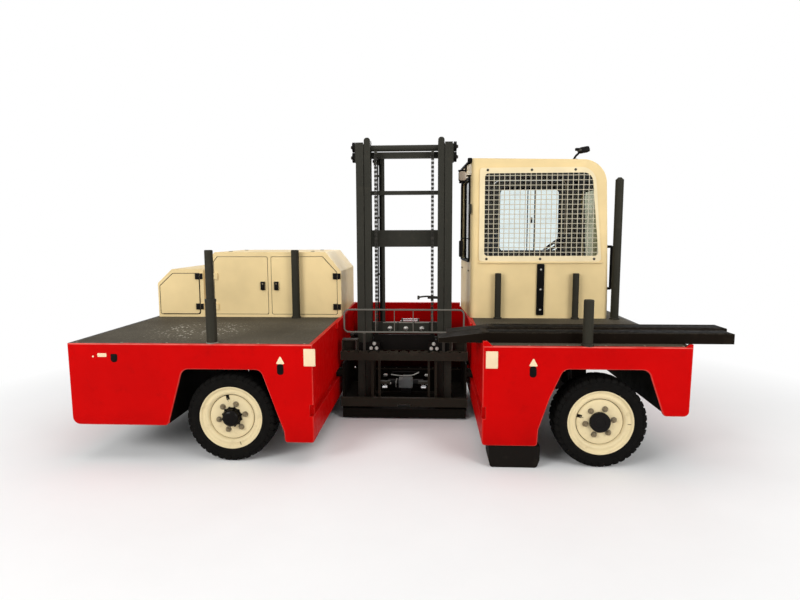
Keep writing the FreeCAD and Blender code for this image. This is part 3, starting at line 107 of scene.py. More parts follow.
class Tree:
    """A node tree with short calls. Values are numbers, tuples or sockets."""

    def __init__(self, tree):
        self.tree = tree

    def put(self, target, value):
        if isinstance(value, bpy.types.NodeSocket):
            self.tree.links.new(value, target)
        elif target.type == "RGBA":
            target.default_value = (*value, 1)
        else:
            target.default_value = value

    def new(self, kind, inputs=(), **settings):
        thing = self.tree.nodes.new("ShaderNode" + kind)
        for key, value in settings.items():
            setattr(thing, key, value)
        for key, value in dict(inputs).items():
            self.put(thing.inputs[key], value)
        return thing

    def maths(self, kind, first, second=0.5):
        return self.new("Math", {0: first, 1: second}, operation=kind).outputs[0]

    plus = partialmethod(maths, "ADD")
    minus = partialmethod(maths, "SUBTRACT")
    most = partialmethod(maths, "MAXIMUM")
    size = partialmethod(maths, "ABSOLUTE")

    def times(self, first, *others):
        """A product: of masks, what they have in common."""
        for other in others:
            first = self.maths("MULTIPLY", first, other)
        return first

    def length(self, first, second):
        squares = [self.maths("POWER", value, 2) for value in (first, second)]
        return self.maths("SQRT", self.plus(*squares))

    def white_to_camera(self, shader, output, *mask):
        """White where the camera, a reflection or a look through glass meets it."""
        rays = self.new("LightPath").outputs
        seen = self.most(
            self.most(rays["Is Camera Ray"], rays["Is Glossy Ray"]), rays["Is Transmission Ray"])
        white = self.new("Emission").outputs[0]
        mix = self.new("MixShader", {0: self.times(seen, *mask), 1: shader.outputs[0], 2: white})
        self.put(self.tree.nodes[output].inputs["Surface"], mix.outputs[0])


world = bpy.data.worlds.new("studio")
scene.world = world
world.use_nodes = True
sky = world.node_tree.nodes["Background"]
sky.inputs["Color"].default_value = (1, 1, 1, 1)
sky.inputs["Strength"].default_value = 0.36
Tree(world.node_tree).white_to_camera(sky, "World Output")
scene.view_settings.view_transform = "Standard"


# ---------- materials

class Nodes(Tree):
    """A material's node tree. x, y and z are a point's place in the CAD's frame."""

    def __init__(self, name):
        self.material = bpy.data.materials.new(name)
        self.material.use_nodes = True
        super().__init__(self.material.node_tree)
        self.shader = self.tree.nodes["Principled BSDF"]
        self.where = self.new("TexCoord").outputs["Object"]
        self.x, self.y, self.z = self.new("SeparateXYZ", {0: self.where}).outputs

    def noise(self, scale, detail=4, rough=0.55, stretch=None, distort=0):
        where = self.where
        if stretch:
            where = self.new("Mapping", {"Vector": where, "Scale": stretch}).outputs[0]
        return self.new(
            "TexNoise",
            {"Vector": where, "Scale": scale, "Detail": detail, "Roughness": rough,
             "Distortion": distort}).outputs["Fac"]

    def ramp(self, source, low, high, first=0, last=1):
        return self.new("MapRange", {0: source, 1: low, 2: high, 3: first, 4: last}).outputs[0]

    def cloud(self, texture, *span):
        return self.ramp(self.noise(*texture), *span)

    def over(self, value, limit, soft=0.0008):
        return self.ramp(value, limit - soft, limit + soft)

    def under(self, value, limit, soft=0.0008):
        return self.ramp(value, limit - soft, limit + soft, 1, 0)

    def past(self, value, limit):
        """How far a value is past a limit, or 0."""
        return self.most(self.minus(value, limit), 0)

    def mix(self, factor, first, second):
        return self.new("Mix", {0: factor, 6: first, 7: second}, data_type="RGBA").outputs[2]

    def edges(self, radius):
        """1 on sharp edges, 0 on flats."""
        bevel = self.new("Bevel", {"Radius": radius}, samples=4)
        flat = self.new("NewGeometry").outputs["Normal"]
        dot = self.new("VectorMath", {0: bevel.outputs[0], 1: flat}, operation="DOT_PRODUCT")
        return self.ramp(dot.outputs["Value"], 0.995, 0.8)

    def set(self, **values):
        for key, value in values.items():
            self.put(self.shader.inputs[key.replace("_", " ")], value)

    def finish(self, colour, rough, height, strength, distance, **values):
        """Sets the shader, with a bump, and gives the material."""
        bump = self.new("Bump", {"Height": height, "Strength": strength, "Distance": distance})
        self.set(Base_Color=colour, Roughness=rough, Normal=bump.outputs[0], **values)
        return self.material


def slab(soft=0.0008, **limits):
    """A mask that is 1 between limits. x, y and z are places, wide and deep are distances
    from the middle along X and Y. A limit of None is left open."""
    def mask(n):
        values = {"x": n.x, "y": n.y, "z": n.z, "wide": n.size(n.x), "deep": n.size(n.y)}
        sides = []
        for key, (low, high) in limits.items():
            if low is not None:
                sides.append(n.over(values[key], low, soft))
            if high is not None:
                sides.append(n.under(values[key], high, soft))
        return n.times(*sides)
    return mask


# The insides of the two red chassis units, behind skirts and end plates, painted near black as
# their shade.
shade_under_the_decks = slab(x=(-2.511, 2.125), wide=(0.672, None), deep=(None, 1.168), z=(None, 0.914))
# The tops of the two end plates, worn down to the decks' colour.
end_rims = slab(wide=(2.085, None), deep=(None, 1.16), z=(0.9215, None))
# The rubber pulleys on the outer sides of the mast's uprights.
beside_the_rails = slab(wide=(0.4625, None))
# The carriage's plates behind the upper fork bar, painted black as their shade.
shade_behind_the_bar = slab(0.004, wide=(None, 0.428), z=(0.654, None))
# The backrest's legs, which are painted like the fork bars.
legs_of_the_backrest = slab(z=(None, 0.824))


def trim_and_shade_in_cab(n):
    """The inside of the cab, 20 mm or more behind its outer faces, round corners and all. It is
    painted dark, partly as a dark inner trim and partly as painted shade.
    """
    flat_x = n.plus(n.x, n.times(n.past(n.z, 1.11), 0.045))
    corner = n.length(n.past(flat_x, 1.735), n.past(n.z, 2.228))
    left = n.plus(n.x, n.times(n.minus(n.y, 0.249), 0.0555))
    room = slab(y=(0.262, 1.125), z=(0.96, 2.44))(n)
    return n.times(room, n.under(corner, 0.205, 0.002), n.over(left, 0.655))


def behind_the_handles(n):
    """Handles and hinges of the cabinets' doors, which stand out of the door's face.
    The battery door's own hinges are painted over."""
    painted = slab(x=(-1.94, -1.84))(n)
    return n.times(n.under(n.y, 0.2474, 0.0002), n.minus(1, painted))


def shade_low_in_the_well(n):
    """The inner foot of the wall that closes the well, painted dark up to 0.6 m and fading out by
    0.8 m, as its shade.
    """
    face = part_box("frame_rear")[1][1] - 0.004
    return n.times(n.ramp(n.z, 0.6, 0.8, 1, 0), n.under(n.y, face))


def beside_the_motor(n):
    """Foot and drums of the traverse motor."""
    return n.minus(1, slab(wide=(None, 0.0735), z=(0.189, None))(n))


def wires_of_the_guard(n):
    """The wires in the window guard's opening, up to its round corners."""
    x = n.plus(n.x, n.times(n.minus(n.z, 1.537), 0.1045))
    side = n.plus(n.past(x, 1.819), n.past(n.times(n.x, -1), -0.8))
    end = n.plus(n.past(n.z, 2.287), n.past(n.times(n.z, -1), -1.572))
    big_corner = n.length(n.past(x, 1.764), n.past(n.z, 2.232))
    return n.times(n.under(n.length(side, end), 0.0335), n.under(big_corner, 0.0885))


def painted_edge_highlight(n):
    """A painted highlight along the rounded outer edges of the skirts, strongest on the top edges,
    where the light catches them.
    """
    normal = n.new("NewGeometry").outputs["Normal"]
    split = n.new("SeparateXYZ", {0: normal}).outputs
    x, y, z = (n.size(value) for value in split)
    return n.times(
        n.ramp(n.times(y, n.plus(x, z)), 0.18, 0.48), n.ramp(split[2], 0, 0.6, 0.22, 0.6),
        n.cloud((5, 4, 0.6), 0.35, 0.6, 0.35, 1))


def paint(name, colour, dirt, share=0.3, rough=0.4, wear_and_sheen=None, peel=0.05, gloss=0.25,
          low_shade=None, inside=None, extra=()):
    """Sprayed paint: cloudy tone, dirt in patches, orange peel and rubbed edges, which on the red
    paint are partly a painted highlight. wear_and_sheen gives the rubbed colour and its share,
    low_shade the heights between which a painted shade, darker towards the bottom in patches,
    fades out and its share, inside a mask and a second, cloudy colour for places that are lined,
    dark in their own colour or painted dark as their shade, and extra more such pairs, each one
    plain colour."""
    n = Nodes(name)
    tone = n.mix(n.cloud((2.2, 3), 0.35, 0.7), colour, shade(colour, 0.86))
    grime = n.cloud((9, 8, 0.7), 0.56, 0.8, 0, share)
    # A painted shade low down: below these heights the tone turns towards the dirt colour in
    # patches, more so towards the bottom.
    if low_shade:
        drop = n.ramp(n.z, *low_shade, 0)
        patches = n.cloud((5, 8, 0.7, (1, 1, 0.5)), 0.3, 0.7)
        grime = n.most(grime, n.times(drop, patches))
    tone = n.mix(grime, tone, dirt)
    if wear_and_sheen:
        rub_and_sheen = n.times(n.edges(0.006), n.cloud((30, 6), 0.38, 0.62), wear_and_sheen[1])
        tone = n.mix(rub_and_sheen, tone, wear_and_sheen[0])
    if inside:
        mask, inner_tone = inside
        cloudy = n.mix(n.cloud((6, 6, 0.65), 0.35, 0.7), inner_tone, shade(inner_tone, 0.6))
        tone = n.mix(mask(n), tone, cloudy)
    for mask, other in extra:
        tone = n.mix(mask(n), tone, other)
    rough = n.cloud((14, 6, 0.65), 0.3, 0.75, rough - 0.07, rough + 0.18)
    return n.finish(tone, rough, n.noise(260, 2), peel, 0.0006, Specular_IOR_Level=gloss)


def shade(colour, share):
    return tuple(share * value for value in colour)


def metal(name, colour, rough, streak=(1, 1, 1), share=0.4):
    """Bare metal with drawn lines and oily dirt."""
    n = Nodes(name)
    lines = n.noise(90, 4, 0.6, streak)
    tone = n.mix(n.ramp(lines, 0.3, 0.7), colour, shade(colour, 0.7))
    grime = n.cloud((12, 8, 0.7), 0.5, 0.75, 0, share)
    return n.finish(
        n.mix(grime, tone, (0.02, 0.016, 0.012)),
        n.ramp(lines, 0.3, 0.7, rough - 0.06, rough + 0.12), lines, 0.08, 0.0005, Metallic=1)


def rubber(name, colour, dust, share, rough):
    n = Nodes(name)
    grime = n.cloud((16, 9, 0.75), 0.52, 0.8, 0, share)
    return n.finish(
        n.mix(grime, colour, dust), n.cloud((24, 6), 0.3, 0.7, rough - 0.1, rough + 0.15),
        n.noise(190, 5, 0.7), 0.25, 0.0008, Specular_IOR_Level=0.06)


def deck_material():
    """Dark plate, speckled and scuffed pale by the loads dragged over it, most of all
    round one place on the left deck."""
    n = Nodes("deck_scuffed")
    base = n.mix(n.cloud((1.3, 6, 0.6), 0.35, 0.65), (0.05, 0.042, 0.029), (0.078, 0.067, 0.048))
    worn = n.length(n.times(n.plus(n.x, 1.74), 1.35), n.times(n.plus(n.y, 0.55), 1.25))
    busy = n.most(n.cloud((1.1, 4, 0.6), 0.42, 0.62, 0.15, 0.8), n.ramp(worn, 0.25, 1, 1, 0))
    grit = n.cloud((70, 10, 0.85), 0.5, 0.6)
    base = n.mix(n.times(grit, busy, 0.7), base, (0.24, 0.21, 0.155))
    chips = n.new("TexVoronoi", {"Vector": n.where, "Scale": 44}).outputs
    few = n.new("SeparateColor", {0: chips["Color"]}).outputs[0]
    flecks = n.times(n.under(chips["Distance"], 0.34, 0.1), n.over(few, 0.7, 0.02))
    thick = n.times(n.ramp(worn, 0.25, 0.65, 1, 0), n.cloud((3.2, 4, 0.6), 0.4, 0.55, 0.2, 1))
    strewn = n.most(thick, n.times(busy, 0.05))
    base = n.mix(n.times(thick, 0.35), base, (0.15, 0.13, 0.095))
    base = n.mix(n.times(flecks, strewn), base, (0.86, 0.82, 0.7))
    lines = n.most(
        n.cloud((26, 6, 0.7, (0.12, 2.2, 1)), 0.58, 0.7),
        n.cloud((26, 6, 0.7, (2.2, 0.15, 1)), 0.61, 0.72))
    scuff = n.times(lines, n.cloud((2.3, 5, 0.6, None, 0.6), 0.48, 0.66))
    base = n.mix(n.times(scuff, 0.5), base, (0.26, 0.23, 0.17))
    rim_dust = n.times(n.over(n.size(n.y), 1.132, 0.008), n.cloud((34, 6, 0.7), 0.42, 0.6))
    return n.finish(
        n.mix(rim_dust, base, (0.19, 0.15, 0.105)), n.ramp(scuff, 0, 1, 0.72, 0.55),
        n.noise(120, 6, 0.7), 0.35, 0.0012, Specular_IOR_Level=0.06)


def glass_material():
    """Clear glass, shaded in the mast-side pane and olive in the windscreen."""
    n = Nodes("clear_glass")
    tint = (0.88, 0.93, 0.93)
    smear = n.cloud((6, 6, 0.6, (1, 1, 2.5)), 0.4, 0.75, 0, 0.06)
    clear = n.mix(n.ramp(smear, 0, 0.06), tint, shade(tint, 0.93))
    shaded = n.mix(
        n.cloud((3, 5, 0.6, (1, 1, 0.5)), 0.4, 0.65), (0.16, 0.2, 0.21), (0.34, 0.4, 0.42))
    olive = n.mix(
        n.cloud((4, 5, 0.6, (1, 1, 0.7)), 0.4, 0.62), (0.36, 0.35, 0.24), (0.58, 0.58, 0.44))
    base = n.mix(n.under(n.x, 0.7, 0.01), clear, shaded)
    n.set(Base_Color=n.mix(n.over(n.x, 1.8, 0.01), base, olive), Transmission_Weight=1, IOR=1.2,
          Roughness=smear)
    return n.material


def vinyl():
    n = Nodes("black_vinyl")
    grain = n.new(
        "TexVoronoi", {"Vector": n.where, "Scale": 420},
        feature="DISTANCE_TO_EDGE").outputs["Distance"]
    tone = n.mix(n.cloud((7, 5), 0.35, 0.7), (0.014, 0.014, 0.016), (0.03, 0.029, 0.028))
    return n.finish(
        tone, n.cloud((20, 4), 0.3, 0.7, 0.42, 0.58), grain, 0.3, 0.0006, Specular_IOR_Level=0.3)


DUST = (0.1, 0.082, 0.056)
SOOT = (0.022, 0.016, 0.011)
BLACK = (0.005, 0.004, 0.0032)
CREAM = (0.85, 0.655, 0.335)
OLD_CREAM = (0.68, 0.5, 0.24)
RED = (0.52, 0.0012, 0.0012)
# On the red paint, the pale red on the rubbed edges is partly worn paint and partly a painted
# highlight where the edges catch the light.
RED_LOOK = dict(
    colour=RED, dirt=(0.16, 0.002, 0.0015), rough=0.36, wear_and_sheen=((0.72, 0.16, 0.12), 0.5), gloss=0.03)
# Heights and share of a painted shade low on the red paint, darker towards the bottom in patches.
LOW_SHADE = (0.17, 0.42, 0.45)
CREAM_LOOK = dict(dirt=OLD_CREAM, wear_and_sheen=((0.9, 0.76, 0.52), 0.35), gloss=0.15)
RUBBED = ((0.13, 0.115, 0.09), 0.45)
MAST_LOOK = ((0.031, 0.03, 0.0235), DUST, 0.2, 0.48, RUBBED, 0.05, 0.08)
WIRE_LOOK = ((0.12, 0.115, 0.095), DUST, 0.3, 0.42, ((0.3, 0.29, 0.26), 0.4), 0.03)
M = {
    "red": paint("red_paint", **RED_LOOK, low_shade=LOW_SHADE),
    "frame": paint("red_frame_paint", **RED_LOOK, low_shade=LOW_SHADE,
                   inside=(shade_under_the_decks, BLACK),
                   extra=((painted_edge_highlight, (0.88, 0.24, 0.19)),
                          (end_rims, (0.034, 0.028, 0.019)))),
    "wall": paint("red_wall_paint", **RED_LOOK, share=0.4,
                  inside=(shade_low_in_the_well, (0.02, 0.002, 0.0015))),
    "deck": deck_material(),
    "cream": paint("cream_paint", CREAM, share=0.22, rough=0.42, **CREAM_LOOK),
    "guard": paint("guard_paint", (0.87, 0.73, 0.46), share=0.12, rough=0.42, **CREAM_LOOK,
                   extra=((wires_of_the_guard, (0.52, 0.47, 0.35)),)),
    "cab": paint("cab_paint", CREAM, share=0.22, **CREAM_LOOK,
                 inside=(trim_and_shade_in_cab, (0.04, 0.032, 0.02))),
    "door": paint("cabinet_door_paint", CREAM, share=0.22, rough=0.42, **CREAM_LOOK,
                  inside=(behind_the_handles, (0.01, 0.008, 0.007))),
    "rim": paint("rim_paint", (0.72, 0.6, 0.36), (0.28, 0.19, 0.09), 0.5, 0.42,
                 ((0.32, 0.25, 0.15), 0.35), gloss=0.15),
    "mast": paint("mast_paint", *MAST_LOOK),
    "rail": paint("mast_rail_paint", *MAST_LOOK, inside=(beside_the_rails, BLACK)),
    # The carriage, the fork bars and most of all the trolley are darker than the mast: their own
    # dark paint and a painted shade of the well they stand in.
    "carriage": paint("carriage_paint", (0.023, 0.019, 0.013), DUST, 0.18, 0.52, RUBBED,
                      0.05, 0.06, inside=(shade_behind_the_bar, BLACK)),
    "bar": paint("fork_bar_paint", (0.024, 0.02, 0.014), DUST, 0.25, 0.5,
                 ((0.14, 0.115, 0.08), 0.6), 0.06, 0.08),
    "shaded_trolley": paint("trolley_paint", (0.009, 0.0075, 0.0055), SOOT, 0.4, 0.6,
                 ((0.06, 0.05, 0.035), 0.35), 0.08, 0.05),
    "motor": paint("motor_paint", (0.42, 0.45, 0.45), SOOT, 0.35, 0.42,
                   ((0.6, 0.6, 0.58), 0.5), 0.08, 0.2, inside=(beside_the_motor, BLACK)),
    "post": paint("stake_paint", (0.029, 0.027, 0.019), DUST, 0.2, 0.5, RUBBED, gloss=0.08),
    "sleeve": paint("sleeve_paint", (0.007, 0.0045, 0.0026), (0.036, 0.025, 0.015), 0.35,
                    0.6, ((0.1, 0.08, 0.055), 0.5), 0.12, 0.04),
    "iron": paint("dark_iron", (0.0085, 0.0068, 0.0055), (0.035, 0.027, 0.019), 0.5, 0.6,
                  ((0.07, 0.058, 0.045), 0.4), 0.15, 0.05),
    "wire": paint("wire_paint", *WIRE_LOOK),
    "backrest": paint("backrest_paint", *WIRE_LOOK,
                      extra=((legs_of_the_backrest, (0.02, 0.017, 0.012)),)),
    "grey": paint("grey_paint", (0.2, 0.21, 0.2), SOOT, 0.5, 0.45,
                  ((0.45, 0.45, 0.43), 0.4), 0.08),
    "battery": paint("battery_paint", (0.05, 0.06, 0.08), SOOT, 0.4, 0.5),
    "label": paint("cream_label", (0.83, 0.66, 0.42), (0.6, 0.48, 0.3), rough=0.5,
                   gloss=0.15),
    "weld": paint("worn_weld", (0.2, 0.185, 0.15), (0.06, 0.05, 0.035), 0.5, 0.5,
                  ((0.5, 0.48, 0.43), 0.5), 0.3, 0.15),
    "plastic": paint("black_plastic", (0.0065, 0.0056, 0.0052), (0.022, 0.018, 0.014),
                     0.35, 0.5, None, 0.15, 0.08),
    "gloss": paint("black_gloss", BLACK, (0.02, 0.017, 0.014), 0.2, 0.16, None, 0.02, 0.08),
    "nut": paint("nut_steel", (0.14, 0.105, 0.055), (0.05, 0.035, 0.018), 0.6, 0.32,
                 ((0.62, 0.54, 0.38), 0.6), 0.1, 0.5),
    "screw": paint("dark_screw", (0.028, 0.022, 0.015), SOOT, 0.4, 0.4,
                   ((0.2, 0.18, 0.14), 0.4), 0.05, 0.3),
    "steel": metal("bare_steel", (0.5, 0.48, 0.44), 0.34, (1, 1, 0.05)),
    "chrome": metal("hard_chrome", (0.75, 0.75, 0.76), 0.12, (1, 1, 0.04), 0.1),
    "chain": paint("oiled_chain", (0.012, 0.0105, 0.008), SOOT, 0.4, 0.38,
                   ((0.12, 0.11, 0.09), 0.35), 0.05, 0.3),
    "bronze": metal("worn_bronze", (0.42, 0.27, 0.12), 0.38),
    "tyre": rubber("tyre_rubber", (0.004, 0.0036, 0.0032), (0.022, 0.017, 0.011), 0.3, 0.75),
    "seal": rubber("seal_rubber", (0.004, 0.0036, 0.0034), (0.016, 0.013, 0.01), 0.25, 0.7),
    "glass": glass_material(),
    "vinyl": vinyl(),
    "lamp": paint("lamp_lens", (0.42, 0.33, 0.24), (0.25, 0.19, 0.13), 0.35, 0.2, None,
                  0.02, 0.3),
    "mirror": metal("mirror_face", (0.8, 0.82, 0.83), 0.08, share=0.1),
}

SLOTS = {
    "deck_steel": "deck", "stake_paint": "post", "tyre_rubber": "tyre", "dark_iron": "iron",
    "sleeve_steel": "sleeve", "cab_glass": "glass", "wire_grey": "wire",
    "rod_chrome": "chrome", "chain_steel": "chain", "seat_vinyl": "vinyl",
    "black_plastic": "plastic", "battery_case": "battery",
}
FINER = {
    "frame": "frame_left frame_right", "wall": "frame_rear", "cab": "cab_shell cab_door",
    "guard": "cab_guard", "door": "battery_door service_door locker_door",
    "rail": "mast_rail_left mast_rail_right", "carriage": "carriage_frame",
    "bar": "fork_bar_upper fork_bar_lower", "shaded_trolley": "trolley", "motor": "traverse_motor",
    "backrest": "load_backrest", "screw": "tilt_rod_left tilt_rod_right",
}
finer = {node: key for key, names in FINER.items() for node in names.split()}
for part in frame["record"]["subparts"]:
    slot = part["material_slot"]
    look = finer.get(part["node"]) or SLOTS.get(slot) or slot.removesuffix("_paint")
    thing = nodes[part["node"]]
    thing.data.materials.clear()
    thing.data.materials.append(M[look])


# ---------- mesh building

def rounded(corners, radius, steps=6):
    """A flat closed outline with rounded corners."""
    radii = radius if isinstance(radius, tuple) else (radius,) * len(corners)
    points = []
    rows = zip(corners, turned_by(corners, -1), turned_by(corners, 1), radii)
    for corner, before, after, radius in rows:
        here = Vector(corner)
        back, ahead = ((Vector(other) - here).normalized() for other in (before, after))
        half = back.angle(ahead) / 2
        centre = here + (back + ahead).normalized() * (radius / math.sin(half))
        first = here + back * (radius / math.tan(half)) - centre
        last = here + ahead * (radius / math.tan(half)) - centre
        total = first.angle(last)
        for step in range(steps + 1):
            share = step / steps
            arm = (first * math.sin((1 - share) * total) + last
                   * math.sin(share * total)) / math.sin(total)
            points.append(tuple(centre + arm))
    return points


def turned_by(items, places):
    """A closed row that starts some places later."""
    return items[places:] + items[:places]


def panel(left, low, right, high, radius):
    """A rounded rectangle's outline."""
    return rounded([(left, low), (right, low), (right, high), (left, high)], radius)


def centred(x, z, half_wide, half_tall, radius):
    return panel(x - half_wide, z - half_tall, x + half_wide, z + half_tall, radius)


def near_side(y):
    """Places an outline on a face that looks to the load side."""
    return lambda a, b, out=0: (a, y - out, b)


def far_side(y):
    return lambda a, b, out=0: (a, y + out, b)


def turned(degrees, axis="Y"):
    return Matrix.Rotation(math.radians(degrees), 3, axis)


def bridge(form, first, second):
    """Faces between two closed rows of vertices."""
    for corners in zip(first, turned_by(first, 1), turned_by(second, 1), second):
        form.faces.new(corners)


NEAR = (0, -1, 0)
UP = (0, 0, 1)
SIDES = (-1, 1)


class Piece:
    """A mesh of several forms, each with its material, that rides on one body."""

    def __init__(self, name, body, slot):
        self.name, self.body, self.slot = name, body, slot
        self.mesh = bmesh.new()
        self.materials = []

    def absorb(self, other, key, smooth, outwards=False):
        if outwards:
            bmesh.ops.recalc_face_normals(other, faces=other.faces[:])
        if key not in self.materials:
            self.materials.append(key)
        for face in other.faces:
            face.material_index = self.materials.index(key)
            face.smooth = smooth
        spare = mesh_of(other, "spare")
        self.mesh.from_mesh(spare)
        bpy.data.meshes.remove(spare)

    def block(self, low, high, key, edge=0.002, turn=None, steps=2):
        form = bmesh.new()
        bmesh.ops.create_cube(form, size=1)
        low, high = Vector(low), Vector(high)
        size, middle = high - low, (high + low) / 2
        for vertex in form.verts:
            vertex.co = vertex.co * size
        bmesh.ops.bevel(form, geom=form.edges[:], offset=min(edge, min(size) * 0.49),
                        segments=steps, affect="EDGES", profile=0.5)
        if turn is not None:
            bmesh.ops.rotate(form, verts=form.verts, cent=(0, 0, 0), matrix=turn)
        bmesh.ops.translate(form, verts=form.verts, vec=middle)
        self.absorb(form, key, False)

    def plate(self, outline, put, depth, key, edge=0.0006):
        """A flat plate: an outline, its place, and its thickness outwards."""
        form = bmesh.new()
        first = [form.verts.new(put(a, b, 0)) for a, b in outline]
        second = [form.verts.new(put(a, b, depth)) for a, b in outline]
        form.faces.new(first)
        top = form.faces.new(second)
        bridge(form, first, second)
        bmesh.ops.recalc_face_normals(form, faces=form.faces[:])
        bmesh.ops.bevel(
            form, geom=list(top.edges), offset=edge, segments=2, affect="EDGES", profile=0.5)
        self.absorb(form, key, False)

    def frame(self, outer, inner, put, depth, key):
        """A flat ring between two outlines with as many points each."""
        form = bmesh.new()
        rows = [[form.verts.new(put(a, b, out)) for a, b in line] for line, out
                in ((outer, 0), (outer, depth), (inner, depth), (inner, 0))]
        for first, second in zip(rows, turned_by(rows, 1)):
            bridge(form, first, second)
        self.absorb(form, key, False, True)

    def lathe(self, base, axis, profile, key, count=48, smooth=True, closed=False, shape=None):
        """profile: (distance along the axis, radius) pairs, turned about the axis.
        shape may change a pair at an angle, for lugs and flutes."""
        form = bmesh.new()
        axis = Vector(axis).normalized()
        side = axis.orthogonal().normalized()
        other = axis.cross(side)
        rings = []
        for place, (far, size) in enumerate(profile):
            ring = []
            for number in range(count):
                along, radius, angle = far, size, 2 * math.pi * number / count
                if shape is not None:
                    along, radius, angle = shape(place, number, along, radius, angle)
                out = side * math.cos(angle) + other * math.sin(angle)
                ring.append(form.verts.new(Vector(base) + axis * along + out * radius))
            rings.append(ring)
        for first, second in zip(rings, rings[1:] + rings[:1] * closed):
            bridge(form, first, second)
        if not closed:
            form.faces.new(rings[0][::-1])
            form.faces.new(rings[-1])
        self.absorb(form, key, smooth, True)

    def rod(self, start, end, radius, key, count=24, edge=0.0015):
        axis = Vector(end) - Vector(start)
        long = axis.length
        edge = min(edge, radius * 0.45, long * 0.45)
        shape = ((0, radius - edge), (edge, radius), (long - edge, radius), (long, radius - edge))
        self.lathe(start, axis, shape, key, count)

    def bolt(self, where, axis, radius, key="steel", tall=None):
        """A hexagon head with its washer."""
        tall = tall or radius * 0.8
        axis = Vector(axis).normalized()
        start = Vector(where) + axis * radius * 0.22
        self.rod(where, start, radius * 1.35, key, 24, 0.0008)
        self.lathe(
            start, axis, ((0, radius), (tall * 0.82, radius), (tall, radius * 0.8)), key, 6, False)

    def dome(self, where, axis, radius, key="nut"):
        """A round-headed screw on its washer."""
        tall = radius * 0.55
        shape = ((0, 1.3), (0.3, 1.3), (0.4, 1), (0.9, 0.85), (1.3, 0.5), (1.4, 0.1))
        self.lathe(where, axis, [(tall * z, radius * x) for z, x in shape], key, 20)

    def sweep(self, points, radius, key, count=12, closed=False, kind="NURBS"):
        """A round bar or pipe along a line through the points."""
        curve = bpy.data.curves.new("spare", "CURVE")
        curve.dimensions = "3D"
        curve.resolution_u = 6
        line = curve.splines.new(kind)
        line.points.add(len(points) - 1)
        for target, point in zip(line.points, points):
            target.co = (*point, 1)
        if kind == "NURBS":
            line.order_u = 3
            line.use_endpoint_u = not closed
        line.use_cyclic_u = closed
        curve.bevel_depth = radius
        curve.bevel_resolution = max(1, count // 4 - 1)
        curve.use_fill_caps = True
        thing = bpy.data.objects.new("spare", curve)
        spare = bpy.data.meshes.new_from_object(thing)
        form = bmesh.new()
        form.from_mesh(spare)
        bpy.data.objects.remove(thing)
        bpy.data.curves.remove(curve)
        bpy.data.meshes.remove(spare)
        self.absorb(form, key, True)

    def trace(self, outline, put, radius, key="seal", count=8, closed=True):
        """A round bar through an outline's points, each put in its place."""
        self.sweep([put(a, b) for a, b in outline], radius, key, count, closed, "POLY")

    def done(self, *replaced):
        mesh = mesh_of(self.mesh, self.name)
        mesh.set_sharp_from_angle(angle=math.radians(34))
        for key in self.materials:
            mesh.materials.append(M[key])
        thing = added(self.name, mesh)
        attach(thing, self.body)
        if replaced:
            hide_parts(*replaced)
        return thing


def made(name, body, slot, *replaced):
    """Makes a piece at once, from the forms that the decorated function adds."""
    def make(forms):
        piece = Piece(name, body, slot)
        forms(piece)
        piece.done(*replaced)
    return make


# ---------- wheels

LUGS = 38
STEPS = 8
# Half a solid tyre's section from the bead to the tread's middle: distance from the
# wheel's plane, radius, and whether a tread groove cuts it.
TYRE_SECTION = (
    (0.09, 0.229, 0), (0.099, 0.24, 0), (0.105, 0.252, 0), (0.108, 0.26, 0), (0.1095, 0.262, 0),
    (0.1095, 0.266, 0), (0.108, 0.268, 0), (0.1098, 0.285, 0), (0.11, 0.3, 0), (0.1085, 0.308, 0),
    (0.106, 0.31, 0), (0.1075, 0.313, 1), (0.1065, 0.322, 1), (0.103, 0.333, 1),
    (0.096, 0.3405, 1), (0.078, 0.344, 1), (0.052, 0.3448, 1), (0.036, 0.345, 1),
    (0.0345, 0.336, 0), (0.0285, 0.336, 0), (0.027, 0.345, 0), (0, 0.345, 0))
RIM_SECTION = (
    (0.052, 0.045), (0.052, 0.17), (0.04, 0.205), (-0.1, 0.212), (-0.102, 0.245), (-0.098, 0.245),
    (-0.092, 0.228), (0.09, 0.228), (0.097, 0.24), (0.1, 0.2445), (0.1035, 0.245), (0.105, 0.2425),
    (0.1045, 0.238), (0.099, 0.231), (0.093, 0.228), (0.0905, 0.224), (0.089, 0.211),
    (0.0905, 0.206), (0.0925, 0.203), (0.0915, 0.196), (0.087, 0.187), (0.078, 0.18),
    (0.069, 0.1765), (0.061, 0.1755), (0.061, 0.1725), (0.07, 0.1715), (0.0712, 0.169),
    (0.07, 0.14), (0.069, 0.118), (0.07, 0.08), (0.07, 0.045))


def tyre(corner, side):
    low, high = (Vector(v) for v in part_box("tyre_" + corner))
    middle = (low + high) / 2
    profile = [(-t, r, cut) for t, r, cut in TYRE_SECTION] + list(TYRE_SECTION[-2::-1])
    pitch = 2 * math.pi / LUGS

    def shape(place, number, along, radius, angle):
        slant = 0.55 * pitch * abs(along) / 0.11 + (0.5 * pitch if along < 0 else 0)
        if profile[place][2] and number % STEPS in (0, 1):
            radius -= 0.008
            along -= math.copysign(0.0045, along) if abs(along) > 0.1 else 0
        return along, radius, angle + slant

    piece = Piece("tyre_detail_" + corner, "wheel_" + corner, "tyre_rubber")
    piece.lathe(middle, (0, side, 0), [(t, r) for t, r, cut in profile], "tyre", LUGS * STEPS,
                True, True, shape)
    piece.done("tyre_" + corner)
    return middle


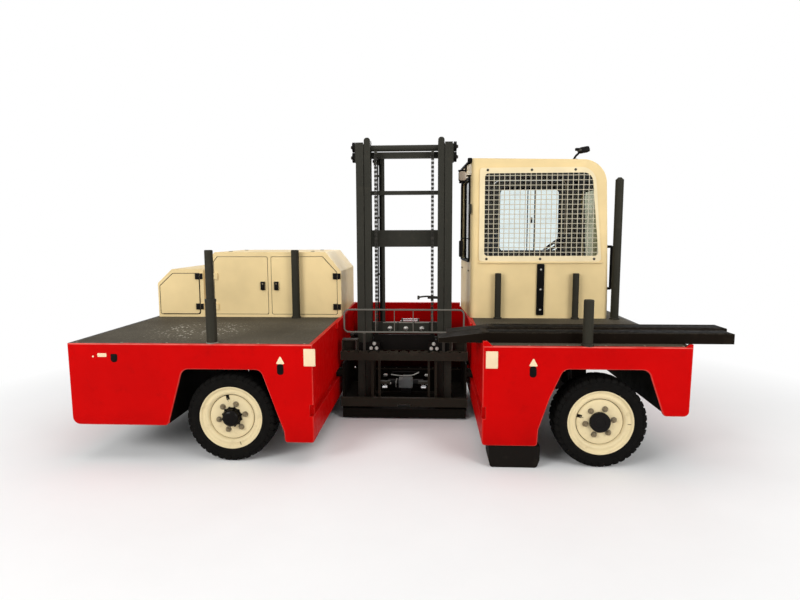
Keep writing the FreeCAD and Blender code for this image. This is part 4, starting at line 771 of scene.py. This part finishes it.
def wheel(corner, side, steered):
    """A split-rim wheel with domed nuts, a hub cover, a valve notch and a ring gap."""
    middle = tyre(corner, side)
    piece = Piece("rim_detail_" + corner, "wheel_" + corner, "rim_paint")
    piece.lathe(middle, (0, side, 0), RIM_SECTION, "rim", 96, True, True)
    out = Vector((0, side, 0))

    def spot(degrees, radius, along):
        turn = math.radians(degrees)
        return middle + out * along + Vector((math.cos(turn) * radius, 0, math.sin(turn) * radius))

    def mark(degrees, radius, along, half, edge, turn):
        """A small dark block: a notch, a scratch or a gap."""
        at, half = spot(degrees, radius, along), Vector(half)
        piece.block(at - half, at + half, "seal", edge, turned(-turn))

    # A thin dark ring in the rim's groove: a painted shadow of the split ring.
    piece.lathe(
        middle + out * 0.0625, out, ((0, 0.1715), (0, 0.1765), (0.0006, 0.1765), (0.0006, 0.1715)),
        "seal", 96, False, True)
    for number in range(6):
        nut = spot((9 if steered else 12) + 60 * number, 0.1055, 0.07)
        piece.lathe(nut, out, ((0, 0.0225), (0.003, 0.0225), (0.0038, 0.02)), "nut", 24)
        piece.lathe(nut + out * 0.0038, out, ((0, 0.0185), (0.015, 0.0185), (0.0185, 0.0155)),
                    "nut", 6, False)
        piece.lathe(
            nut + out * 0.02, out, ((0, 0.0145), (0.005, 0.0136), (0.009, 0.01), (0.0105, 0.002)),
            "nut", 16)
    if steered:
        piece.lathe(
            middle + out * 0.07, out,
            ((0, 0.076), (0.026, 0.076), (0.03, 0.073), (0.03, 0.04), (0.027, 0.038),
             (0.027, 0.002)), "plastic", 48)
    else:
        for number in range(12):
            lobe = spot(15 + 30 * number, 0.073, 0.07)
            piece.rod(lobe, lobe + out * 0.008, 0.0095, "gloss", 12)
        piece.lathe(
            middle + out * 0.07, out,
            ((0, 0.0745), (0.0065, 0.0745), (0.008, 0.067), (0.036, 0.066), (0.048, 0.062),
             (0.056, 0.052), (0.06, 0.038), (0.062, 0.02), (0.0625, 0.002)), "gloss", 48)
    valve, gap = (164, -3) if steered else (101, -72)
    mark(valve, 0.156, 0.0708, (0.018, 0.001, 0.0125), 0.0009, valve)
    piece.rod(spot(valve, 0.15, 0.0715), spot(valve, 0.15, 0.086), 0.0045, "nut", 12)
    mark(valve + 2, 0.131, 0.0694, (0.009, 0.0008, 0.0016), 0.0005, valve)
    mark(gap, 0.217, 0.0916, (0.0165, 0.0016, 0.0018), 0.0007, gap)
    piece.done("rim_" + corner)


wheel("left_near", -1, False)
wheel("left_far", 1, False)
wheel("right_near", -1, True)
wheel("right_far", 1, True)


# ---------- chassis

DECK = 0.93
SKIRT = 1.1752


@made("skirt_marks", "chassis", "black_plastic", "skirt_plates")
def skirt_marks(p):
    """Marker lamps, blank plates and lashing slots on both long skirts."""
    for put in (near_side(-SKIRT), far_side(SKIRT)):
        p.plate(
            panel(-2.181, 0.786, -2.129, 0.85, (0.024, 0.024, 0.01, 0.01)), put, 0.0014, "seal")
        p.plate(panel(-2.172, 0.798, -2.138, 0.843, (0.015, 0.015, 0.006, 0.006)), put, 0.003,
                "gloss", 0.0009)
        p.plate(panel(-2.283, 0.827, -2.213, 0.855, 0.004), put, 0.0014, "label")
        p.plate(panel(-2.326, 0.823, -2.312, 0.836, 0.0055), put, 0.001, "label")
        for x in (-0.875, 1.002):
            p.plate(panel(x - 0.026, 0.7, x + 0.024, 0.784, 0.021), put, 0.0014, "seal")
            sign = rounded([(x - 0.033, 0.783), (x + 0.033, 0.783), (x, 0.846)], 0.006, 4)
            p.plate(sign, put, 0.0018, "label")
        for left, low, right, high in ((-0.697, 0.768, -0.609, 0.9), (0.656, 0.764, 0.744, 0.892)):
            p.plate(panel(left, low, right, high, 0.004), put, 0.0014, "label")
            left, low, right, high = left + 0.006, low + 0.006, right - 0.006, high - 0.006
            for nail in ((left, low), (right, low), (right, high), (left, high)):
                p.rod(put(*nail, 0.0014), put(*nail, 0.0024), 0.0022, "steel", 10, 0.0004)


@made("end_fittings", "chassis", "dark_iron")
def end_fittings(p):
    """Lamps and bolts on the two end plates."""
    for end, sign in ((-2.5165, -1), (2.135, 1)):
        def put(y, z, out):
            return (end + sign * out, y, z)
        for y in (-1.02, 1.02):
            p.plate(centred(y, 0.77, 0.055, 0.07, 0.016), put, 0.006, "plastic", 0.0015)
            for z, key in ((0.735, "lamp"), (0.805, "red")):
                p.lathe(
                    put(y, z, 0.005), (sign, 0, 0),
                    ((0, 0.03), (0.004, 0.03), (0.007, 0.024), (0.0085, 0.004)), key, 32)
        for y in (-0.75, -0.25, 0.25, 0.75):
            p.bolt(put(y, 0.87, 0.0025), (sign, 0, 0), 0.011, "nut")


@made("deck_screws", "chassis", "deck_steel")
def deck_screws(p):
    """Countersunk screws round the anti-slip plates."""
    for left, right in ((-2.47, -0.7), (0.7, 2.09)):
        for number in range(6):
            for y in (-1.125, 1.125):
                p.lathe((left + (right - left) * number / 5, y, DECK), UP,
                        ((0, 0.009), (0.0006, 0.009), (0.0012, 0.0072), (0.0012, 0.003),
                         (0.0004, 0.0022)), "nut", 16)


@made("stake_welds", "chassis", "stake_paint")
def stake_welds(p):
    """Worn weld beads where the stakes stand on the decks."""
    for x, y, radius in ((-1.41, -1.12, 0.04), (-1.075, 0.199, 0.038), (1.4, -1.127, 0.037),
                         (0.9, 0.205, 0.03), (1.64, 0.205, 0.03), (2.015, 0.21, 0.038)):
        def bead(place, number, along, out, angle):
            return along, out + 0.0006 * math.sin(11 * angle + x), angle
        p.lathe(
            (x, y, DECK), UP,
            ((0, radius + 0.006), (0.003, radius + 0.0056), (0.006, radius + 0.003),
             (0.008, radius + 0.0003)), "weld", 64, shape=bead)


def sleeve_ribs():
    """Rolled edges and the dark strip between them on each loose sleeve."""
    for name in ("sleeve_near", "sleeve_far"):
        (left, near, low), (right, far, top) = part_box(name)
        p = Piece(name + "_ribs", "chassis", "sleeve_steel")
        tip = left + 0.356

        def rib(start, end, first, last, tall, key, edge):
            p.block((tip + start, first, top - 0.001), (right - end, last, top + tall), key, edge)

        for y in (near + 0.006, far - 0.006):
            rib(0.01, 0.004, y - 0.005, y + 0.005, 0.0022, "sleeve", 0.0012)
        rib(0.03, 0.01, near + 0.026, far - 0.026, 0.0008, "tyre", 0.0006)
        for y in (near + 0.03, far - 0.03):
            rib(0.02, 0.04, y - 0.003, y + 0.003, 0.003, "sleeve", 0.0012)
        step = panel(near + 0.01, tip - 0.03, far - 0.01, tip + 0.012, 0.01)
        p.plate(step, lambda y, x, out: (x, y, top - 0.0005 + out), 0.003, "sleeve", 0.0012)
        p.done()


sleeve_ribs()


@made("apron_and_shade", "chassis", "tyre_rubber")
def apron_and_shade(p):
    """A dark rubber apron under the wall that closes the well's far side; it also stands in for
    the shade in the gap under that wall.
    """
    p.block((-0.615, 1.108, 0.05), (0.615, 1.115, 0.234), "seal", 0.002)
    for number in range(9):
        p.bolt((-0.56 + 0.14 * number, 1.108, 0.215), NEAR, 0.008, "screw")


# ---------- cabinets

def hinge_half(piece, left, z, face):
    """The cover of one half of a black block hinge, with its two screws."""
    put = near_side(face)
    piece.plate(
        panel(left + 0.001, z - 0.029, left + 0.033, z + 0.029, 0.004), put, 0.0016, "plastic")
    for over in (-0.017, 0.017):
        piece.dome(put(left + 0.017, z + over, 0.0016), NEAR, 0.0042, "gloss")


def paddle_latch(piece, x, z):
    """A black recessed paddle latch."""
    put = near_side(0.2342)
    inner = centred(x, z, 0.015, 0.034, 0.005)
    piece.frame(centred(x, z, 0.021, 0.042, 0.006), inner, put, 0.0045, "plastic")
    piece.plate(inner, put, 0.0016, "gloss")
    piece.lathe(
        put(x, z + 0.02, 0.0016), NEAR,
        ((0, 0.0075), (0.002, 0.0075), (0.003, 0.006), (0.003, 0.002)), "nut", 20)
    piece.plate(centred(x, z - 0.012, 0.012, 0.018, 0.004), put, 0.004, "plastic", 0.0012)


# (node, body, hinge's X, latch's X)
CABINET_DOORS = (
    ("battery_door", "door_of_battery", None, -1.415), ("service_door", "chassis", -0.676, -1.279),
    ("locker_door", "door_of_locker", -2.063, None))


def cabinet_hardware():
    leaves = Piece("hinge_leaves", "chassis", "black_plastic")
    for node, body, hinge, latch in CABINET_DOORS:
        piece = Piece(node + "_fittings", body, "black_plastic")
        if hinge:
            for z in (1.035, 1.339):
                hinge_half(piece, hinge - 0.036, z, 0.2352)
                hinge_half(leaves, hinge + 0.0074, z, 0.2412)
        if latch:
            paddle_latch(piece, latch, 1.244)
        piece.done()
    leaves.done()


cabinet_hardware()


@made("cabinet_seams", "chassis", "black_plastic")
def seams(p):
    """Rubber seals round the cabinets' doors, a painted shadow along the locker door's bottom and
    right side, the hood's rings and the back's louvres.
    """
    low, high = 0.962, 1.53
    battery = [(-1.906, low), (-1.367, low), (-1.367, high), (-1.868, high), (-1.906, 1.482)]
    service = [(-1.327, low), (-0.676, low), (-0.676, 1.374), (-0.816, high), (-1.327, high)]
    locker = [(-2.466, low), (-2.063, low), (-2.063, 1.366), (-2.328, 1.366), (-2.466, 1.24)]
    for corners, radius in ((battery, 0.0012), (service, 0.0012), (locker, 0.003)):
        middle = [sum(c[i] for c in corners) / len(corners) for i in (0, 1)]
        grown = [tuple(v + math.copysign(0.0022, v - m) for v, m in zip(c, middle)) for c
                 in corners]
        p.trace(rounded(grown, 0.017), near_side(0.2485), radius)
    # A thicker black line along the locker door's bottom and right side: a painted shadow under
    # the door's edge.
    thick = rounded([(-2.44, 0.96), (-2.061, 0.96), (-2.061, 1.33)], (0.001, 0.03, 0.001))
    p.trace(thick, near_side(0.2475), 0.0048, "seal", 10, False)
    for x in (-1.8, -0.95):
        for y in (0.45, 0.95):
            p.lathe((x, y, 1.578), UP, ((0, 0.02), (0.003, 0.02), (0.004, 0.017)), "plastic", 20)
    for x in (-1.62, -1.02):
        for row in range(7):
            z = 1.02 + row * 0.04
            p.block((x - 0.17, 1.1505, z), (x + 0.17, 1.1585, z + 0.016), "cream", 0.002,
                    turned(28, "X"))
            # A thin black strip under each slat: painted shade in the louvre's slot.
            p.block((x - 0.166, 1.15, z - 0.006), (x + 0.166, 1.1508, z + 0.004), "seal", 0.0003)


# ---------- cab

CAB = 0.2488


def wall_x(y):
    """X of the cab's mast-side wall, which is not square to the truck."""
    return 0.64 - (y - 0.249) * 0.05 / 0.901


def front_x(z):
    """X of the windscreen wall, which leans back."""
    return 1.96 - 0.06 * (z - 1.11) / 1.332


@made("cab_trim", "chassis", "cream_paint")
def cab_trim(p):
    """The guard's screws, strips, gutter, gaskets, wiper and a door hinge."""
    for x, z in ((0.79, 2.352), (1.204, 2.35), (1.612, 2.35), (0.788, 1.508), (1.301, 1.508),
                 (1.812, 1.508)):
        p.dome((x, 0.237, z), NEAR, 0.0095, "screw")
    p.plate(panel(0.714, 1.4655, 1.886, 1.4835, 0.004), near_side(CAB), 0.019, "cream", 0.002)
    p.plate(panel(1.276, 0.962, 1.345, 1.459, 0.009), near_side(CAB), 0.018, "seal", 0.003)
    for z in (1.014, 1.212, 1.405):
        p.dome((1.311, 0.2308, z), NEAR, 0.0075, "steel")
    p.sweep([(wall_x(y) - 0.006, y, 2.452) for y in (0.3, 0.6, 0.9, 1.1)], 0.0135, "seal")
    p.block((0.601, 0.262, 2.425), (0.642, 0.305, 2.472), "seal", 0.008)
    p.trace(panel(0.35, 1.48, 1.05, 2.3, 0.05), lambda y, z: (wall_x(y) - 0.004, y, z), 0.0125,
            "seal", 10)
    p.trace(panel(0.33, 1.33, 1.07, 2.2, 0.06), lambda y, z: (front_x(z) + 0.004, y, z), 0.011,
            "seal", 10)
    p.trace(rounded([(0.745, 1.517), (1.877, 1.517), (1.794, 2.342), (0.745, 2.342)],
                    (0.045, 0.045, 0.1, 0.045)), near_side(0.289), 0.009)
    p.block((1.905, 0.455, 2.122), (1.962, 0.62, 2.176), "cream", 0.012, steps=3)
    p.sweep([(1.956, 0.54, 2.15), (1.964, 0.56, 1.98), (1.968, 0.66, 1.72)], 0.0055, "seal", 8)
    p.block((1.957, 0.62, 1.44), (1.967, 0.632, 1.98), "seal", 0.003, turned(-2.6))
    p.block((0.618, 0.234, 1.94), (0.64, 0.258, 2.035), "post", 0.006)
    for y in (0.42, 0.98):
        p.rod((wall_x(y) - 0.012, y, 1.385), (wall_x(y) + 0.003, y, 1.385), 0.0085, "nut", 12)


def work_light(p):
    p.block((1.598, 0.3, 2.4485), (1.642, 0.34, 2.458), "plastic", 0.003)
    p.sweep([(1.612, 0.32, 2.454), (1.63, 0.32, 2.49), (1.656, 0.32, 2.506), (1.664, 0.32, 2.536)],
            0.01, "plastic")
    p.block((1.656, 0.28, 2.513), (1.752, 0.36, 2.569), "plastic", 0.018, turned(-10), 4)
    p.lathe((1.75, 0.32, 2.548), (1, 0, 0.17), ((0, 0.024), (0.004, 0.025), (0.006, 0.021)),
            "mirror", 28)
    p.block((1.621, 0.306, 2.532), (1.664, 0.334, 2.56), "plastic", 0.009, steps=3)
    p.rod((1.662, 0.276, 2.536), (1.662, 0.364, 2.536), 0.011, "screw", 14)


def side_lamp(p):
    """The lamp on the mast side, in its black housing."""
    p.plate(panel(0.516, 2.252, 0.592, 2.356, 0.024), near_side(0.326), 0.033, "seal", 0.006)
    p.plate(panel(0.516, 2.26, 0.592, 2.348, 0.026), near_side(0.2935), 0.023, "lamp", 0.01)
    body = ((0.512, 0.276, 2.346), (0.596, 0.324, 2.362))
    foot = ((0.522, 0.282, 2.236), (0.57, 0.324, 2.258))
    neck = ((0.576, 0.29, 2.354), (0.596, 0.31, 2.41))
    for low, high in (body, foot, neck):
        p.block(low, high, "seal", 0.006)
    p.sweep([(0.586, 0.3, 2.4), (0.596, 0.302, 2.42), (0.63, 0.304, 2.426)], 0.0095, "seal", 10)
    p.block((0.57, 0.308, 2.3), (0.636, 0.32, 2.316), "seal", 0.003)


def mirror(p):
    p.block((0.526, 0.3, 1.526), (0.566, 0.324, 1.686), "plastic", 0.01, steps=3)
    p.block((0.529, 0.3235, 1.534), (0.563, 0.3262, 1.678), "mirror", 0.001)
    p.sweep([(0.546, 0.312, 1.68), (0.55, 0.312, 1.705), (0.59, 0.312, 1.71), (0.635, 0.312, 1.7)],
            0.006, "plastic", 10)


def grab_rail(p):
    """The rail by the windscreen."""
    y, low, high, out = 0.312, 1.218, 1.623, 1.997
    rail = [(front_x(low) + 0.001, low), (1.982, low), (out, low), (out, 1.234), (out, 1.42),
            (out, 1.607), (out, high), (1.98, high), (front_x(high) + 0.001, high)]
    p.sweep([(x, y, z) for x, z in rail], 0.0135, "seal", 16)
    for z in (low, high):
        p.lathe(
            (front_x(z) + 0.0008, y, z), (1, 0, 0.045),
            ((0, 0.024), (0.004, 0.024), (0.006, 0.02)), "seal", 24)


@made("cab_outfit", "chassis", "black_plastic", "cab_fittings")
def cab_outfit(p):
    for part in (work_light, side_lamp, mirror, grab_rail):
        part(p)


@made("cab_door_trim", "door_of_cab", "black_plastic")
def far_door_trim(p):
    """The sliding panes' bars and gaskets of the far door, and its handle."""
    line = panel(1.01, 1.55, 1.67, 2.25, 0.06)
    for y in (1.1195, 1.152):
        p.trace(line, near_side(y), 0.0085)
    for left, right, key in ((1.318, 1.327, "plastic"), (1.395, 1.411, "seal")):
        p.block((left, 1.127, 1.556), (right, 1.1325, 2.244), key)
        p.block((left, 1.1395, 1.556), (right, 1.1445, 2.244), key)
    for z in (1.558, 2.234):
        p.block((1.045, 1.127, z), (1.635, 1.1325, z + 0.01), "plastic")
    p.block((1.356, 1.118, 1.87), (1.376, 1.1275, 1.93), "plastic", 0.003)
    p.sweep([(1, 1.171, 1.417), (1, 1.19, 1.417), (1.05, 1.193, 1.417), (1.1, 1.19, 1.417),
             (1.1, 1.171, 1.417)], 0.007, "plastic")


@made("driver_controls", "chassis", "black_plastic")
def driver_controls(p):
    """Levers, pedals and a blank display at the driver's place."""
    for number in range(4):
        y = 0.5 + 0.055 * number
        p.sweep([(1.71, y, 1.4185), (1.705, y, 1.46), (1.685, y, 1.54)], 0.006, "chrome", 10)
        p.lathe(
            (1.688, y, 1.532), (-0.25, 0, 1),
            ((0, 0.008), (0.006, 0.014), (0.018, 0.0165), (0.028, 0.013), (0.033, 0.004)), "gloss",
            20)
        p.lathe((1.71, y, 1.42), UP, ((0, 0.022), (0.006, 0.019), (0.01, 0.013), (0.016, 0.0105)),
                "seal", 20)
    p.block((1.76, 0.82, 1.44), (1.79, 0.98, 1.54), "plastic", 0.008, turned(-24))
    p.block((1.752, 0.832, 1.452), (1.756, 0.968, 1.528), "gloss", 0.001, turned(-24))
    p.rod((1.79, 0.9, 1.419), (1.782, 0.9, 1.45), 0.012, "plastic", 14)
    for y in (0.6, 0.78):
        p.block((1.54, y - 0.045, 1.03), (1.61, y + 0.045, 1.042), "seal", 0.004, turned(35))
        p.rod((1.59, y, 1.03), (1.639, y, 1.06), 0.008, "plastic", 12)


# ---------- seat

def soft_block(low, high, top_in, crown):
    """The start of a cushion: a rounded block whose top is drawn in and crowned."""
    form = bmesh.new()
    bmesh.ops.create_cube(form, size=1)
    bmesh.ops.subdivide_edges(form, edges=form.edges[:], cuts=9, use_grid_fill=True)
    low, high = Vector(low), Vector(high)
    size, middle = high - low, (low + high) / 2
    for vertex in form.verts:
        place = vertex.co * 2
        full = max(abs(value) for value in place)
        place *= full / sum(abs(value) ** 6 for value in place) ** (1 / 6)
        rise = (place.z + 1) / 2
        place.x *= 1 - top_in * rise
        place.y *= 1 - top_in * rise
        place.z += crown * rise * (1 - place.x ** 2) * (1 - place.y ** 2)
        vertex.co = place * size / 2 + middle
    return form


def shown_mesh(thing):
    """A mesh of the object with its modifiers applied, which are then taken off."""
    shown = thing.evaluated_get(bpy.context.evaluated_depsgraph_get())
    mesh = bpy.data.meshes.new_from_object(shown)
    thing.modifiers.clear()
    return mesh


def swell(thing, cap):
    """Fills a closed cushion with a short cloth simulation and keeps the result."""
    remesh = thing.modifiers.new("Remesh", "REMESH")
    remesh.mode = "VOXEL"
    remesh.voxel_size = 0.006
    bpy.context.view_layer.update()
    thing.data = shown_mesh(thing)
    rest = [vertex.co.copy() for vertex in thing.data.vertices]
    cloth = thing.modifiers.new("Cloth", "CLOTH").settings
    cloth.use_pressure = True
    cloth.uniform_pressure_force = 4
    cloth.effector_weights.gravity = 0
    cloth.quality = 5
    for number in range(1, 21):
        scene.frame_set(number)
    swollen = shown_mesh(thing)
    scene.frame_set(1)
    for vertex, start in zip(swollen.vertices, rest):
        move = vertex.co - start
        if move.length > cap:
            vertex.co = start + move.normalized() * cap
    thing.data = swollen


def cushion(name, low, high, top_in, crown, seams):
    """A padded cushion. seams: (axis, place, depth, width) of each sewn channel."""
    thing = added(name, mesh_of(soft_block(low, high, top_in, crown), name))
    middle = (Vector(low) + Vector(high)) / 2
    swell(thing, 0.012)
    mesh = thing.data
    for axis, place, depth, width in seams:
        for vertex in mesh.vertices:
            away = abs(vertex.co[axis] - place)
            if away < 3 * width:
                pull = depth * math.exp(-(away / width) ** 2)
                vertex.co += (middle - vertex.co).normalized() * pull
    for face in mesh.polygons:
        face.use_smooth = True
    mesh.materials.clear()
    mesh.materials.append(M["vinyl"])
    finer = thing.modifiers.new("Finer", "SUBSURF")
    finer.levels = finer.render_levels = 1
    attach(thing, "chassis")
    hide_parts("seat_cushion")


cushion("seat_pad", (0.882, 0.512, 1.318), (1.312, 0.948, 1.408), 0.05, 0.22,
        ((1, 0.62, 0.006, 0.008), (1, 0.84, 0.006, 0.008), (0, 1.09, 0.004, 0.008)))
cushion("seat_back_pad", (0.868, 0.538, 1.44), (0.938, 0.922, 1.762), 0.06, 0,
        ((2, 1.6, 0.006, 0.008), (1, 0.64, 0.005, 0.008), (1, 0.82, 0.005, 0.008)))


# ---------- mast

def lift_chain_strands():
    """Leaf chains: rows of link plates with pins, from the carriage up to the sheaves."""
    low, high, layers = 0.8215, 2.479, 8
    count = int((high - low) / 0.0381)
    pitch = (high - low) / count
    for side_name, middle in (("left", -0.265), ("right", 0.265)):
        piece = Piece("lift_chain_" + side_name, "mast_inner", "chain_steel")
        for number in range(count):
            z = low + pitch * (number + 0.5)
            for layer in range(number % 2, layers, 2):
                x = middle + (layer - (layers - 1) / 2) * 0.0033
                piece.block(
                    (x - 0.0017, 0.0562, z - pitch * 0.8), (x + 0.0017, 0.0638, z + pitch * 0.8),
                    "chain", 0.0012, steps=1)
            z -= pitch / 2
            piece.rod((middle - 0.0137, 0.06, z), (middle + 0.0137, 0.06, z), 0.0036, "chain", 8)
        thing = piece.done("lift_chains")
        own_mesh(thing)


lift_chain_strands()


@made("slide_strips", "mast_inner", "black_plastic")
def slide_strips(p):
    """Black strips of wearing plastic that the inner uprights slide on."""
    for left in (-0.379, 0.3745):
        for first, last in ((0.083, 0.105), (0.195, 0.217)):
            p.block((left, first, 0.39), (left + 0.0045, last, 2.585), "seal", 0.001)


@made("mast_outer_fittings", "mast_outer", "mast_paint")
def mast_details(p):
    """Fixed pipes, the hook's bracket, gussets, pulleys and bright plugs on the outer
    mast."""
    p.sweep([(0.13, 0.24, 1.132), (0.18, 0.24, 1.145), (0.29, 0.24, 1.14), (0.372, 0.24, 1.13)],
            0.009, "mast", 10)
    p.rod((0.37, 0.24, 1.13), (0.386, 0.24, 1.124), 0.01, "bronze", 16)
    p.block((0.22, 0.233, 1.118), (0.35, 0.247, 1.144), "mast", 0.006)
    p.block((0.12, 0.233, 1.112), (0.142, 0.247, 1.15), "mast", 0.003)
    for x in (-0.1495, 0.0075, 0.1645):
        p.lathe(
            (x, 0.2199, 0.827), NEAR,
            ((0, 0.023), (0.0015, 0.023), (0.0022, 0.019), (0.009, 0.0165), (0.012, 0.009)),
            "steel", 24)
        p.block((x - 0.07, 0.2185, 0.88), (x + 0.07, 0.23, 0.89), "weld")
    for z, first, last in ((0.914, -0.03, 0.14), (0.896, -0.05, 0.14)):
        p.rod((first, 0.262, z), (last, 0.262, z), 0.004, "chrome", 12)
    for x in (-0.03, 0.13):
        p.block((x - 0.008, 0.248, 0.884), (x + 0.008, 0.27, 0.922), "mast", 0.003)
    for x, radius in ((-0.2445, 0.0085), (-0.264, 0.0065)):
        p.sweep([(x, 0.272, z) for z in (0.88, 1.4, 2, 2.5)], radius, "seal", 10)
    for z in (1, 1.35, 1.9, 2.3, 2.48):
        p.block((-0.274, 0.26, z), (-0.212, 0.282, z + 0.018), "mast", 0.003)
    # the pulleys that lead the pipes' upper ends over the post
    y, z = 0.279, 2.448
    for x in (-0.292, -0.27, -0.248):
        p.rod((x, y, z), (x + 0.013, y, z), 0.046, "seal", 40, 0.004)
    p.rod((-0.298, y, z), (-0.218, y, z), 0.033, "mast", 32)
    p.bolt((-0.298, y, z), (-1, 0, 0), 0.015, "screw")
    p.block((-0.303, 0.268, 2.408), (-0.298, 0.296, 2.524), "mast")
    p.block((-0.303, 0.268, 2.504), (-0.204, 0.296, 2.524), "mast")
    for side in SIDES:
        for z in (2.466, 2.561):
            for x in (0.4618, 0.4815):
                p.rod(
                    (side * x, 0.15, z), (side * (x + 0.007), 0.15, z), 0.0472, "seal", 40, 0.003)
            p.bolt((side * 0.4885, 0.15, z), (side, 0, 0), 0.015, "screw")
    for x in (-0.34, 0.34):
        p.sweep(
            [(x, 0.27, 0.3), (x, 0.27, 1), (x, 0.27, 1.55), (x, 0.276, 1.6)], 0.006, "seal", 10)
        for z in (0.45, 0.95, 1.45):
            p.block((x - 0.012, 0.26, z), (x + 0.012, 0.28, z + 0.016), "iron", 0.003)


@made("carriage_fittings", "carriage", "mast_paint")
def carriage_details(p):
    """The upper bar's notches, wire loops, bolts and rollers."""
    for number in range(17):
        x = -0.56 + 0.07 * number
        notch = rounded(
            [(x - 0.019, 0.6515), (x + 0.019, 0.6515), (x + 0.014, 0.659), (x - 0.014, 0.659)],
            0.002, 3)
        p.plate(notch, near_side(-0.036), 0.038, "bar", 0.0015)
    for side in SIDES:
        inner, outer = side * 0.452, side * 0.586
        loop = rounded([(inner, 0.653), (inner, 0.756), (outer, 0.756), (outer, 0.653)],
                       (0.001, 0.014, 0.014, 0.001))
        p.trace(loop, near_side(-0.042), 0.0055, "wire", 10, False)
        for x, z in ((0.28, 0.724), (0.258, 0.68), (0.31, 0.68)):
            p.bolt((side * x, -0.0425, z), NEAR, 0.0125, "steel", 0.0125)
        x = side * 0.1865
        p.block((x - 0.0525, -0.03, 0.333), (x + 0.0525, 0.025, 0.357), "mast", 0.003)
        x = side * 0.185
        p.rod((x - 0.024, 0, 0.295), (x + 0.024, 0, 0.295), 0.016, "chrome")


@made("trolley_fittings", "mast_trolley", "mast_paint")
def trolley_details(p):
    """Pipes, bolts, blocks and bright couplings on the trolley."""
    p.sweep([(-0.15, 0.345, 0.33), (-0.09, 0.342, 0.32), (0, 0.34, 0.318), (0.08, 0.342, 0.324),
             (0.135, 0.345, 0.356)], 0.006, "steel")
    p.sweep([(-0.09, 0.347, 0.29), (-0.105, 0.34, 0.25), (-0.098, 0.34, 0.2)], 0.006, "steel", 10)
    for x in (-0.06048, 0.06048):
        for z in (0.2, 0.27):
            p.dome((x, 0.3495, z), NEAR, 0.006, "steel")
    for x in (-0.185, 0.19):
        p.block((x - 0.045, 0.37, 0.15), (x + 0.045, 0.4, 0.215), "shaded_trolley", 0.008)
        for over in (-0.02, 0.022):
            p.rod((x + over - 0.014, 0.36, 0.232), (x + over + 0.014, 0.36, 0.232), 0.013, "steel",
                  20)
    p.sweep([(-0.14, 0.36, 0.348), (-0.05, 0.36, 0.356), (0.05, 0.36, 0.352),
             (0.145, 0.36, 0.348)], 0.009, "plastic")
    for left, right in ((-0.233, -0.181), (0.186, 0.247)):
        p.rod((left, 0.38, 0.315), (right, 0.38, 0.315), 0.011, "chrome", 6)
        p.rod((left + 0.01, 0.38, 0.315), (right - 0.01, 0.38, 0.315), 0.014, "steel", 20)
    p.block((-0.012, -0.059, 0.041), (0.178, -0.048, 0.066), "steel", 0.003)


# ---------- floor

def floor():
    form = bmesh.new()
    bmesh.ops.create_grid(form, x_segments=8, y_segments=8, size=40)
    thing = added("floor", mesh_of(form, "floor"))
    n = Nodes("floor_paper")
    paper = n.mix(n.noise(3), (0.91, 0.91, 0.905), (0.88, 0.88, 0.875))
    n.set(Base_Color=paper, Roughness=0.85, Specular_IOR_Level=0.1)
    n.white_to_camera(n.shader, "Material Output", n.ramp(n.length(n.x, n.y), 2.9, 5))
    thing.data.materials.append(n.material)


floor()
